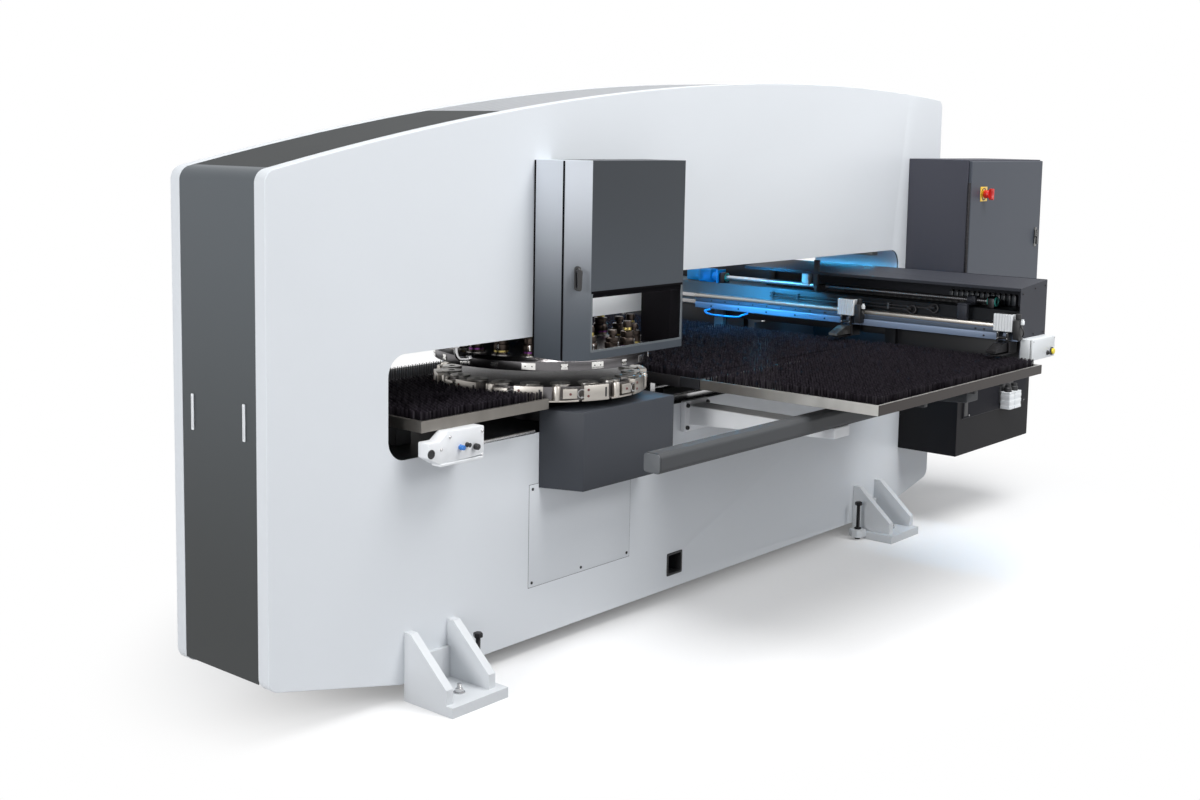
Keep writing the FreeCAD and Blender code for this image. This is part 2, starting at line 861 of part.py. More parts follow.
def pedestal():
    """Lower guard below the turret, with a chamfered corner and a sloping underside."""
    body = new_body("Pedestal")
    plan = [(along("pedestal_left"), "-half_width"), (along("pedestal_corner"), "-pedestal_front"),
            (along("pedestal_right"), "-pedestal_front"), (along("pedestal_right"), "-half_width")]
    pad(body, closed_outline(body, "XY", plan, "pedestal_back_low"), "(pedestal_top - pedestal_back_low)")
    below = "(pedestal_back_low - skin)"
    slope = [("-(half_width - skin)", "pedestal_back_low"), ("-(half_width - skin)", below),
             ("-(pedestal_front + skin)", below),
             ("-(pedestal_front + skin)", "pedestal_front_low"), ("-pedestal_front", "pedestal_front_low")]
    pocket(body, closed_outline(body, "YZ", slope, along("pedestal_right") + " + skin"),
           "(pedestal_right - pedestal_left + 2 * skin)")
    relief = rectangle(along("hatch_left"), along("(hatch_left + hatch_length + skin)"), "hatch_low",
                       "(hatch_low + hatch_height + skin)")
    pocket(body, closed_outline(body, "XZ", relief, "(half_width - 1)"), "(hatch_skin + 1)", reverse=True)
    return body


def guard_box():
    """Fixed part of the head guard: a sheet box, open below and towards the door."""
    depth = "(guard_seam - half_width)"
    shell = block("Guard", along("guard_left"), "-guard_seam", "guard_low", "(guard_right - guard_left)",
                  depth, "(guard_top - guard_low)")
    room = block("Guard_room", along("(guard_left + guard_skin)"), "-(guard_seam + guard_skin)",
                 "(guard_low - guard_skin)", "(guard_right - guard_left - 2 * guard_skin)",
                 "(%s + 2 * guard_skin)" % depth, "(guard_top - guard_low)")
    return cut("Head_guard", shell, [room])


def guard_door():
    """Front door of the head guard: chamfered at the left, with a wide window cut through its face."""
    body = new_body("Guard_door")
    back = "-(guard_seam + seam_gap)"
    plan = [(along("guard_left"), back), (along("guard_chamfer"), "-guard_front"),
            (along("guard_right"), "-guard_front"), (along("guard_right"), back)]
    pad(body, closed_outline(body, "XY", plan, "guard_low"), "(guard_top - guard_low)")
    room = [(along("(guard_left + 2 * guard_skin)"), "-(guard_seam - guard_skin)"),
            (along("(guard_left + 2 * guard_skin)"), "-(guard_seam + guard_skin / 2)"),
            (along("(guard_chamfer + guard_skin / 2)"), "-(guard_front - guard_skin)"),
            (along("(guard_right - guard_skin)"), "-(guard_front - guard_skin)"),
            (along("(guard_right - guard_skin)"), "-(guard_seam - guard_skin)")]
    pocket(body, closed_outline(body, "XY", room, "(guard_top - guard_skin)"), "(guard_top - guard_low)")
    view = rectangle(along("window_left"), along("window_right"), "window_low", "window_top")
    pocket(body, closed_outline(body, "XZ", view, "(guard_front + guard_skin)"), "3 * guard_skin")
    return body


def guards():
    """Head guard with its door and handle at the front, a closed one behind, and the two lower guards."""
    keep(group("Pedestals", both_sides("Pedestal", pedestal())), "pedestals")
    box = guard_box()
    keep(box, "head_guard")
    door = guard_door()
    keep(door, "head_guard_door")
    back = guard_door_blank()
    rear_box = mirror("Rear_guard_box", box, (0, 1, 0))
    keep(fuse("Rear_guard", [rear_box, back]), "rear_head_guard")
    hinges = []
    for height in ("(guard_low + hinge_inset)", "(guard_top - hinge_inset - hinge_length)"):
        pin = rod("Guard_pin", "Z", along("(guard_right + hinge_radius + seat_gap)"),
                  "-(guard_seam + hinge_radius)", height, "hinge_radius", "hinge_length")
        leaf = block("Guard_leaf", along("guard_right"), "-(guard_seam + plate_skin)", height, "hinge_radius",
                     "hinge_leaf", "hinge_length")
        hinges.append(fuse("Guard_hinge", [pin, leaf]))
    bottom, run = "(door_low + hinge_inset)", "(cabinet_top - door_low - 3 * hinge_inset)"
    cabinet_pin = rod("Cabinet_pin", "Z", along("(cabinet_left - hinge_radius + door_margin - seat_gap)"),
                      "-(cabinet_front + seat_gap + door_skin - hinge_radius)", bottom, "hinge_radius", run)
    cabinet_leaf = block("Cabinet_leaf", along("cabinet_left"), "-(cabinet_front + door_margin)", bottom,
                         "(door_margin - 2)", "door_margin", run)
    hinges.append(fuse("Cabinet_hinge", [cabinet_pin, cabinet_leaf]))
    keep(group("Hinges", hinges), "door_hinges")
    handle()


def guard_door_blank():
    """Closed front of the rear guard."""
    body = new_body("Guard_blank")
    plan = [(along("guard_left"), "guard_seam"), (along("guard_right"), "guard_seam"),
            (along("guard_right"), "guard_front"), (along("guard_chamfer"), "guard_front")]
    pad(body, closed_outline(body, "XY", plan, "guard_low"), "(guard_top - guard_low)")
    room = [(along("(guard_left + 2 * guard_skin)"), "(guard_seam - guard_skin)"),
            (along("(guard_right - guard_skin)"), "(guard_seam - guard_skin)"),
            (along("(guard_right - guard_skin)"), "(guard_front - guard_skin)"),
            (along("(guard_chamfer + guard_skin / 2)"), "(guard_front - guard_skin)"),
            (along("(guard_left + 2 * guard_skin)"), "(guard_seam + guard_skin / 2)")]
    pocket(body, closed_outline(body, "XY", room, "(guard_top - guard_skin)"), "(guard_top - guard_low)")
    return body


def handle():
    """Door handle on the chamfered face: a bar on a round boss whose axis is square to the face."""
    seam = number("guard_seam + seam_gap")
    run = number("guard_chamfer - guard_left")
    rise = number("guard_front") - seam
    face = FreeCAD.Vector(run, -rise, 0).normalize()
    outward = FreeCAD.Vector(-face.y, face.x, 0) * -1
    middle = FreeCAD.Vector(number(along("(guard_left + guard_chamfer) / 2")),
                            -(seam + number("guard_front")) / 2,
                            number("guard_handle_low + guard_handle_length - guard_handle_width / 2"))
    start = middle + outward * number("seat_gap")
    width = number("guard_handle_width")
    boss = Part.makeCylinder(width / 4, width, start, outward)
    lever = Part.makeBox(width, width / 2, number("guard_handle_length"), FreeCAD.Vector(-width / 2, 0, 0))
    lever = lever.makeChamfer(width / 8, lever.Edges)
    turn = FreeCAD.Rotation(FreeCAD.Vector(0, 1, 0), outward)
    drop = FreeCAD.Vector(0, 0, number("guard_handle_width / 2 - guard_handle_length"))
    lever.Placement = FreeCAD.Placement(start + outward * width + drop, turn)
    item = DOC.addObject("Part::Feature", "Guard_handle")
    item.Shape = boss.fuse(lever).removeSplitter()
    keep(item, "head_guard_handle")


# ---------------------------------------------------------------- turret and ram

def turret():
    """Upper and lower turret discs with their stations, holders, bearings and the ram above one station."""
    centre = along("turret_station")
    upper = new_body("Upper_turret", centre)
    top = "(upper_low + upper_thickness)"
    middle = "(upper_low + upper_thickness / 2)"
    disc(upper, "turret_radius", "upper_low", "upper_thickness / 2")
    disc(upper, "(turret_radius - upper_thickness / 3)", middle, "upper_thickness / 2")
    bore = polygon_corners("station_circle", "0", "station_bore", HOLDER_SIDES)
    hole = closed_outline(upper, "XY", bore, "(%s + 1)" % top)
    polar_pattern(upper, pocket(upper, hole, "(upper_thickness + 2)"), "station_count")
    hub = rod("Turret_hub", "Z", centre, "0", top, "hub_radius", "(hub_top - %s)" % top)
    keep(group("Disc_and_hub", [upper, hub]), "upper_turret")

    lower = new_body("Lower_turret", centre)
    level = "(lower_low + lower_thickness)"
    disc(lower, "(turret_radius - drum_foot)", "lower_low", "drum_step")
    disc(lower, "(turret_radius - collar_step)", "(lower_low + drum_step)", "(lower_thickness - drum_step)")
    bore = polygon_corners("station_circle", "0", "(die_radius + punch_fit)", HOLDER_SIDES)
    seat = closed_outline(lower, "XY", bore, "(%s + 1)" % level)
    polar_pattern(lower, pocket(lower, seat, "(die_depth + 1)"), "station_count")
    boss = rod("Drum_boss", "Z", centre, "0", "(lower_low - drum_step)", "hub_radius", "drum_step")
    keep(group("Drum_and_boss", [lower, boss]), "lower_turret")

    keep(ring("Punch_holders", punch_holder()), "punch_holders")
    keep(ring("Die_holders", die_holder()), "die_holders")
    keep(ring("Station_plates", station_plate()), "station_plates")

    ram_x = along("(turret_station + station_circle)")
    housing = rod("Ram_housing", "Z", ram_x, "0", "(ram_low + ram_wall)", "(ram_radius + ram_wall)",
                  "(ram_ceiling - ram_low - ram_wall)", RAM_SIDES)
    bore = rod("Ram_bore", "Z", ram_x, "0", "ram_low", "(ram_radius + ram_fit)", "(ram_top - ram_low + 10)",
               RAM_SIDES)
    keep(cut("Ram_cylinder", housing, [bore]), "ram_cylinder")
    ram = rod("Ram", "Z", ram_x, "0", "ram_low", "ram_radius", "(ram_top - ram_low)", RAM_SIDES)
    keep(ram, "ram_striker")
    floor = "(throat_floor - core_recess)"
    depth = "(lower_low - throat_floor + core_recess - seat_gap)"
    supports = [rod("Upper_bearing", "Z", centre, "0", "(hub_top + seat_gap)", "bearing_radius",
                    "(ram_ceiling - hub_top - seat_gap)", RAM_SIDES),
                rod("Lower_bearing", "Z", centre, "0", floor, "bearing_radius", "(%s - drum_step)" % depth,
                    RAM_SIDES),
                rod("Anvil", "Z", ram_x, "0", floor, "(ram_radius + ram_wall / 2)", depth, FITTING_SIDES)]
    keep(group("Turret_supports", supports), "turret_bearings")


def disc(body, radius, low, height):
    """Many-sided disc about the body's own Z axis."""
    corners = polygon_corners("0", "0", radius, DISC_SIDES)
    return pad(body, closed_outline(body, "XY", corners, low), height)


def ring(name, shape):
    """One shape repeated at every turret station, as loose solids in one node."""
    centre = FreeCAD.Vector(number(along("turret_station")), 0, 0)
    count = int(number("station_count"))
    copies = []
    for index in range(count):
        copy = shape.copy()
        copy.rotate(FreeCAD.Vector(0, 0, 0), FreeCAD.Vector(0, 0, 1), 360.0 * index / count)
        copy.translate(centre)
        copies.append(copy)
    item = DOC.addObject("Part::Feature", name)
    item.Shape = Part.makeCompound(copies)
    return item


def faceted(tiers):
    """Eight-sided tiers at the station circle, each (radius, low, high), joined into one solid."""
    place = number("station_circle")
    turns = [math.pi * (2 * index + 1) / HOLDER_SIDES for index in range(HOLDER_SIDES)]
    pieces = []
    for radius, low, high in tiers:
        corners = [FreeCAD.Vector(place + radius * math.cos(turn), radius * math.sin(turn), low)
                   for turn in turns]
        face = Part.Face(Part.makePolygon(corners + corners[:1]))
        pieces.append(face.extrude(FreeCAD.Vector(0, 0, high - low)))
    return pieces[0].multiFuse(pieces[1:]) if len(pieces) > 1 else pieces[0]


def punch_holder():
    """Punch assembly: guide in the turret bore, spring collar and a smaller striking head."""
    guide = number("station_bore - punch_fit")
    low = number("upper_low + holder_foot")
    top = number("punch_top")
    collar = number("upper_low + upper_thickness + holder_collar")
    return faceted([(guide, low, collar), (guide - number("holder_step"), collar, top)])


def die_holder():
    """Die in its holder: a low block that stands a little above the lower turret."""
    level = number("lower_low + lower_thickness")
    low = level - number("die_depth - seat_gap")
    return faceted([(number("die_radius"), low, level + number("die_lift"))])


def station_plate():
    """Small bright plate on the upper turret's rim, one for each station."""
    width = number("plate_width")
    place = FreeCAD.Vector(number("turret_radius"), -width / 2, number("upper_low + plate_lift"))
    return Part.makeBox(number("plate_skin"), width, number("plate_height"), place)


# ---------------------------------------------------------------- brush tables

def table_tray(name, start, finish, low_y, high_y, open_end=False):
    """Shallow tray with a rim; open_end leaves off the rim at the high X end."""
    body = new_body(name)
    pad(body, closed_outline(body, "XY", rectangle(along(start), along(finish), low_y, high_y), "table_low"),
        "table_rim")
    end = "(%s + rim_width)" % finish if open_end else "(%s - rim_width)" % finish
    room = rectangle(along("(%s + rim_width)" % start), along(end), "(%s + rim_width)" % low_y,
                     "(%s - rim_width)" % high_y)
    pocket(body, closed_outline(body, "XY", room, "(table_low + table_rim)"), "(table_rim - tray_floor)")
    return body


def brush_bed(name, start, finish, low_y, high_y):
    """Rows of bristle strips on a base board, seated inside a tray's rim."""
    body = new_body(name)
    margin = "(rim_width + seat_gap)"
    left, right = along("(%s + %s)" % (start, margin)), along("(%s - %s)" % (finish, margin))
    near, far = "(%s + %s)" % (low_y, margin), "(%s - %s)" % (high_y, margin)
    floor = "(table_low + tray_floor + seat_gap)"
    pad(body, closed_outline(body, "XY", rectangle(left, right, near, far), floor), "brush_base")
    first = pad(body, closed_outline(body, "XY", rectangle(left, left + " + brush_width", near, far),
                                     "(%s + brush_base)" % floor), "(brush_top - %s - brush_base)" % floor)
    run = "(%s - %s - 2 * %s - brush_width)" % (finish, start, margin)
    count = int(number(run) / number("brush_pitch")) + 1
    linear_pattern(body, first, "X", run, count)
    return body


def round_clearance(body):
    """Cut a table back to clear the turret."""
    circle = round_outline(body, "XY", [(along("turret_station"), "0", "(turret_radius + turret_clearance)")],
                           "(brush_top + 1)")
    pocket(body, circle, "(brush_top - table_low + 2)")


def tables():
    """Fixed table left of the turret, fixed middle table, and the two tables that travel with the bridge."""
    left = ("left_table_start", "(turret_station - left_table_half + rim_width)", "-left_table_half",
            "left_table_half")
    tray = table_tray("Left_tray", *left, open_end=True)
    round_clearance(tray)
    keep(tray, "left_table")
    bed = brush_bed("Left_brushes", *left)
    round_clearance(bed)

    half = "(table_split - table_gap)"
    middle = ("right_table_start", "centre_table_end", "-" + half, half)
    keep(table_tray("Centre_tray", *middle), "centre_table")
    keep(group("Fixed_brushes", [bed, brush_bed("Centre_brushes", *middle)]), "fixed_table_brushes")

    outer = ("right_table_start", "right_table_end", "-table_front", "-table_split")
    front_and_rear("table", table_tray("Front_tray", *outer))
    keep(group("Side_brushes", both_sides("Side", brush_bed("Front_brushes", *outer))), "side_table_brushes")

    posts = []
    floor = "(throat_floor - core_recess)"
    for station in ("(left_table_start + 150)", "(left_table_start + 450)", "(right_table_start + 250)",
                    "(centre_table_end - 300)"):
        posts.append(block("Table_post", along(station), "-post_half", floor, "2 * post_half",
                           "2 * post_half", "(table_low - throat_floor + core_recess)"))
    keep(group("Table_posts", posts), "table_posts")


# ---------------------------------------------------------------- outboard guide beams

def guide_beam():
    """Square guide beam with bevelled edges under the travelling table."""
    body = new_body("Guide_beam")
    corners = rectangle("-beam_front", "-(beam_front - beam_width)", "beam_low", "(beam_low + beam_height)")
    base = pad(body, closed_outline(body, "YZ", corners, along("beam_start")), "(beam_end - beam_start)")
    edges = edges_along(base.Shape, FreeCAD.Vector(1, 0, 0))
    bevel = body.newObject("PartDesign::Chamfer", "Bevel")
    bevel.Base = (base, edges)
    tie(bevel, Size="beam_corner")
    DOC.recompute()
    return body


def beam_arm(name, station):
    """Cantilever arm from the frame to the guide beam, which tapers outwards, with a flange on the casing."""
    body = new_body(name)
    back = "-(half_width + arm_seat)"
    outline = [(back, "arm_low"), (back, "beam_low"), ("-(beam_front - arm_seat)", "beam_low"),
               ("-(beam_front - arm_seat)", "(arm_low + arm_rise)")]
    pad(body, closed_outline(body, "YZ", outline, along(station)), "arm_width")
    flange = rectangle("-(half_width + flange_skin)", "-half_width", "(arm_low - flange_margin)",
                       "(beam_low + 2 * flange_margin / 3)")
    pad(body, closed_outline(body, "YZ", flange, along("(%s - flange_margin)" % station)),
        "(arm_width + 2 * flange_margin)")
    return body


def beams():
    keep(group("Guide_beams", both_sides("Guide", guide_beam())), "guide_beams")
    arms = [beam_arm("Arm_near", "arm_station"), beam_arm("Arm_far", "(arm_station + arm_pitch)")]
    keep(group("Arms", both_sides("Arm", arms)), "beam_arms")


# ---------------------------------------------------------------- bridge carriage

def travel_guides():
    """Rails on the throat floor and the drive screw between them."""
    floor = "(throat_floor - core_recess)"
    run = "(rail_end - rail_start)"
    pieces = [block("Travel_rail", along("rail_start"), y, floor, run, "rail_width", "rail_height")
              for y in ("-(rail_offset + rail_width / 2)", "(rail_offset - rail_width / 2)")]
    for station in ("rail_start", "(rail_end - bearing_width)"):
        support = block("Drive_bearing", along(station), "-(drive_offset + bearing_width)", floor,
                        "bearing_width", "2 * bearing_width", "(drive_height - %s + bearing_width)" % floor)
        bore = rod("Drive_bore", "X", along("(%s - 5)" % station), "-drive_offset", "drive_height",
                   "(drive_radius + ram_fit)", "(bearing_width + 10)")
        pieces.append(cut("Drive_end", support, [bore]))
    keep(group("Travel_rails", pieces), "travel_rails")
    screw = rod("Drive_screw", "X", along("rail_start"), "-drive_offset", "drive_height", "drive_radius", run)
    keep(screw, "drive_screw")


def saddle():
    """Cross slide that joins two rail blocks to the leg outside the middle table."""
    outer = "-(leg_inner + leg_thickness)"
    plate = block("Saddle_plate", along("saddle_start"), outer, "rail_block_top", "saddle_length",
                  "(leg_inner + leg_thickness - saddle_inner)", "(saddle_top - rail_block_top)")
    leg = block("Leg", along("saddle_start"), outer, "rail_block_top", "saddle_length", "leg_thickness",
                "(bridge_low - rail_block_top)")
    table_tie = block("Table_tie", along("right_table_end"), outer, "rail_block_top",
                      "(saddle_start - right_table_end)", "leg_thickness",
                      "(table_low + table_rim - rail_block_top)")
    return fuse("Saddle", [plate, leg, table_tie])


def rail_blocks():
    """Four ball blocks that straddle the rails."""
    pieces = []
    floor = "(throat_floor - core_recess)"
    for station in ("saddle_start", "(saddle_start + saddle_length - rail_block_length)"):
        for y in ("-rail_offset", "rail_offset"):
            outer = block("Rail_block", along(station), "(%s - rail_block_width / 2)" % y,
                          "(%s + rail_block_lift)" % floor, "rail_block_length", "rail_block_width",
                          "(rail_block_top - %s - rail_block_lift)" % floor)
            slot = block("Rail_slot", along("(%s - 5)" % station), "(%s - rail_width / 2 - seat_gap)" % y,
                         floor, "(rail_block_length + 10)", "(rail_width + 2 * seat_gap)",
                         "(rail_height + seat_gap)")
            pieces.append(cut("Rail_block_cut", outer, [slot]))
    return pieces


def bridge():
    """Bridge across the frame: box beam, saddles, drive nut, sliders, clamp guides and screw bearings."""
    travel_guides()
    saddles = both_sides("Saddle", saddle())
    nut_block = block("Nut_block", along("saddle_start"), "-saddle_inner", "(drive_height - drive_nut_half)",
                      "saddle_length", "(saddle_inner - drive_offset + drive_nut_half)", "2 * drive_nut_half")
    nut_bore = rod("Nut_bore", "X", along("(saddle_start - 5)"), "-drive_offset", "drive_height",
                   "(drive_radius + ram_fit)", "(saddle_length + 10)")
    keep(group("Saddles", saddles + [cut("Drive_nut", nut_block, [nut_bore])]), "saddles")

    beam = new_body("Bridge_beam")
    section = rectangle(along("bridge_front"), along("bridge_back"), "bridge_low", "bridge_top")
    pad(beam, closed_outline(beam, "XZ", section, "-bridge_half"), "2 * bridge_half")
    inside = rectangle(along("(bridge_front + bridge_wall)"), along("(bridge_back - bridge_wall)"),
                       "(bridge_low + bridge_wall)", "(bridge_top - bridge_wall)")
    pocket(beam, closed_outline(beam, "XZ", inside, "(bridge_half + 1)"), "(2 * bridge_half + 2)")
    keep(beam, "bridge_beam")

    sliders = [block("Table_slider", along("(slider_start + %s)" % step), "-(beam_front - arm_seat)",
                     "(beam_low + beam_height + seat_gap)", "slider_length", "(beam_width - 2 * arm_seat)",
                     "(table_low - beam_low - beam_height - seat_gap)") for step in ("0", "slider_pitch")]
    keep(group("Slide_blocks", both_sides("Slider", sliders) + rail_blocks()), "slide_blocks")

    guides = [block("Clamp_guide", along("(bridge_front - guide_depth)"), "-bridge_half", z, "guide_depth",
                    "2 * bridge_half", "guide_height")
              for z in ("(bridge_low + guide_lift)", "(bridge_low + guide_pitch)")]
    keep(group("Clamp_guides", guides), "clamp_guides")

    ends = []
    for y in ("-(screw_near + bearing_width)", "screw_far"):
        support = block("Screw_bearing", along("(screw_station - bearing_half)"), y, "bridge_top",
                        "2 * bearing_half", "bearing_width", "(screw_lift + bearing_half)")
        bore = rod("Screw_bore", "Y", along("screw_station"), "(%s - 5)" % y, "(bridge_top + screw_lift)",
                   "(screw_radius + ram_fit)", "(bearing_width + 10)")
        ends.append(cut("Screw_end", support, [bore]))
    keep(group("Screw_ends", ends), "clamp_screw_bearings")
    keep(rod("Clamp_screw", "Y", along("screw_station"), "-(screw_near + bearing_width)",
             "(bridge_top + screw_lift)", "screw_radius", "(screw_near + screw_far + 2 * bearing_width)"),
         "clamp_screw")
    motor = block("Clamp_motor", along("(screw_station - motor_width / 2)"),
                  "(screw_far + bearing_width + seat_gap)", "bridge_top", "motor_width", "motor_length",
                  "motor_height")
    keep(motor, "clamp_motor")


def clamp_bar():
    """Clamp bar with its guide shoes and the bracket to the screw's nut."""
    body = new_body("Clamp_bar")
    length = "(clamp_bar_end + clamp_bar_far)"
    section = rectangle(along("clamp_bar_front"), along("(clamp_bar_front + clamp_bar_width)"),
                        "clamp_bar_low", "(clamp_bar_low + clamp_bar_height)")
    pad(body, closed_outline(body, "XZ", section, "-clamp_bar_far"), length)
    shoes = []
    for y in ("-shoe_start", "-(shoe_start - shoe_pitch)", "-(shoe_start - 2 * shoe_pitch)"):
        for z in ("(bridge_low + guide_lift)", "(bridge_low + guide_pitch)"):
            shoe = block("Shoe", along("(clamp_bar_front + clamp_bar_width)"), y, "(%s - shoe_lip)" % z,
                         "(bridge_front - clamp_bar_front - clamp_bar_width - seat_gap)", "shoe_length",
                         "(guide_height + 2 * shoe_lip)")
            slot = block("Shoe_slot", along("(bridge_front - guide_depth - seat_gap)"), "(%s - 5)" % y,
                         "(%s - seat_gap)" % z, "(guide_depth + 5)", "(shoe_length + 10)",
                         "(guide_height + 2 * seat_gap)")
            shoes.append(cut("Shoe_cut", shoe, [slot]))
    keep(group("Bar_and_shoes", [body] + shoes), "clamp_bar")
    near = "-(nut_station + nut_length / 2)"
    axis = "(bridge_top + screw_lift)"
    level = "(bridge_top + nut_lift)"
    nut = block("Screw_nut", along("(screw_station - nut_half)"), near, level, "2 * nut_half", "nut_length",
                "(screw_lift - nut_lift + nut_half)")
    plate = block("Nut_plate", along("clamp_bar_front"), near, level, "(screw_station - clamp_bar_front)",
                  "nut_length", "nut_plate")
    stem = block("Nut_stem", along("clamp_bar_front"), near, "(clamp_bar_low + clamp_bar_height)",
                 "clamp_bar_width / 2", "nut_length", "(%s - clamp_bar_low - clamp_bar_height)" % level)
    bore = rod("Screw_nut_bore", "Y", along("screw_station"), near + " - 5", axis, "(screw_radius + ram_fit)",
               "(nut_length + 10)")
    keep(cut("Clamp_nut", fuse("Nut_bracket", [nut, plate, stem]), [bore]), "clamp_screw_nut")


def clamps():
    """Two clamps on the bar, each with its own hinged jaw."""
    near, near_cylinder = clamp("near", "-clamp_near")
    far, far_cylinder = clamp("far", "-(clamp_near - clamp_pitch)")
    keep(group("Clamp_bodies", [near, far]), "clamp_bodies")
    keep(group("Clamp_cylinders", [near_cylinder, far_cylinder]), "clamp_cylinders")


def clamp(name, y):
    """Sheet clamp: fixed lower jaw, hinged upper jaw on a pin, and the air cylinder block above."""
    side = "(%s - clamp_width / 2)" % y
    pivot = "(jaw_low + pivot_lift)"
    jaw = block("Lower_jaw", along("jaw_tip"), side, "jaw_low",
                "(clamp_bar_front + clamp_bar_width - jaw_tip)", "clamp_width", "jaw_plate")
    riser = block("Jaw_riser", along("(clamp_bar_front + riser_gap)"), side, "jaw_low",
                  "(clamp_bar_width - riser_gap)", "clamp_width", "(clamp_bar_low - jaw_low)")
    ears = [block("Jaw_ear", along("(jaw_pivot - ear_overlap)"), place, "(jaw_low + jaw_plate)",
                  "(clamp_bar_front + riser_gap - jaw_pivot + ear_overlap)", "ear_skin",
                  "(clamp_bar_low - jaw_low - jaw_plate)")
            for place in (side, "(%s + clamp_width / 2 - ear_skin)" % y)]
    pin = rod("Jaw_pin", "Y", along("jaw_pivot"), side, pivot, "pivot_radius", "clamp_width")
    top_low = "(jaw_low + jaw_plate + jaw_mouth)"
    heel, crest = along("(jaw_pivot + jaw_heel)"), "(%s + pivot_cover)" % pivot
    upper = new_body("Upper_jaw")
    profile = [(along("jaw_tip"), top_low), (heel, top_low), (heel, crest),
               (along("(jaw_pivot - jaw_nose)"), crest), (along("jaw_tip"), "(%s + jaw_skin)" % top_low)]
    pad(upper, closed_outline(upper, "XZ", profile, "-(%s + clamp_width / 2 - ear_skin - jaw_play)" % y),
        "(clamp_width - 2 * ear_skin - 2 * jaw_play)")
    bore = round_outline(upper, "XZ", [(along("jaw_pivot"), pivot, "(pivot_radius + pivot_fit)")],
                         "-(%s - clamp_width)" % y)
    pocket(upper, bore, "2 * clamp_width")
    keep(upper, "clamp_jaw_" + name)
    cylinder = block("Clamp_cylinder", along("(clamp_bar_front - cylinder_depth)"),
                     "(%s - cylinder_width / 2)" % y, "(clamp_bar_low + 2 * clamp_bar_height / 3)",
                     "cylinder_depth", "cylinder_width", "cylinder_height")
    return fuse("Clamp_body", [jaw, riser, pin] + ears), cylinder


def hood():
    """Sheet hood over the bridge's drive, with its front end plate."""
    body = new_body("Hood")
    profile = [(along("hood_front"), "(hood_front_top - hood_lip)"),
               (along("(hood_front + hood_skin)"), "(hood_front_top - hood_lip)"),
               (along("(hood_front + hood_skin)"), "(hood_front_top - hood_skin)"),
               (along("bridge_back"), "(hood_back_top - hood_skin)"), (along("bridge_back"), "bridge_low"),
               (along("(bridge_back + hood_skin)"), "bridge_low"),
               (along("(bridge_back + hood_skin)"), "hood_back_top"), (along("hood_front"), "hood_front_top")]
    pad(body, closed_outline(body, "XZ", profile, "-hood_far"), "(hood_far + bridge_half)")
    plate = new_body("Hood_plate")
    edge = [(along("hood_front"), "hood_plate_low"), (along("(bridge_back + hood_skin)"), "hood_plate_low"),
            (along("(bridge_back + hood_skin)"), "hood_back_top"), (along("hood_front"), "hood_front_top")]
    pad(plate, closed_outline(plate, "XZ", edge, "bridge_half"), "hood_skin")
    rear = new_body("Rear_plate")
    edge = rectangle(along("bridge_front"), along("bridge_back"), "bridge_low", "bridge_top")
    pad(rear, closed_outline(rear, "XZ", edge, "-bridge_half"), "hood_skin", reverse=True)
    keep(group("Hood_and_plates", [body, plate, rear]), "hood")


def button_box():
    """Small white box under the hood's end plate, with its push button."""
    outer = "-(bridge_half + hood_skin + box_depth)"
    box = block("Button_box", along("box_left"), outer, "box_low", "box_length", "box_depth", "box_height")
    hole = rod("Button_hole", "Y", along("button_station"), "(%s - 5)" % outer, "button_height",
               "(button_radius + seat_gap / 2)", "(button_reach + button_radius)", RAM_SIDES)
    keep(cut("Button_box_cut", box, [hole]), "button_box")
    cap = rod("Button_cap", "Y", along("button_station"), "(%s - button_reach)" % outer, "button_height",
              "button_radius", "(button_reach + button_radius)", RAM_SIDES)
    keep(cap, "push_button")


# ---------------------------------------------------------------- cabinet and fittings

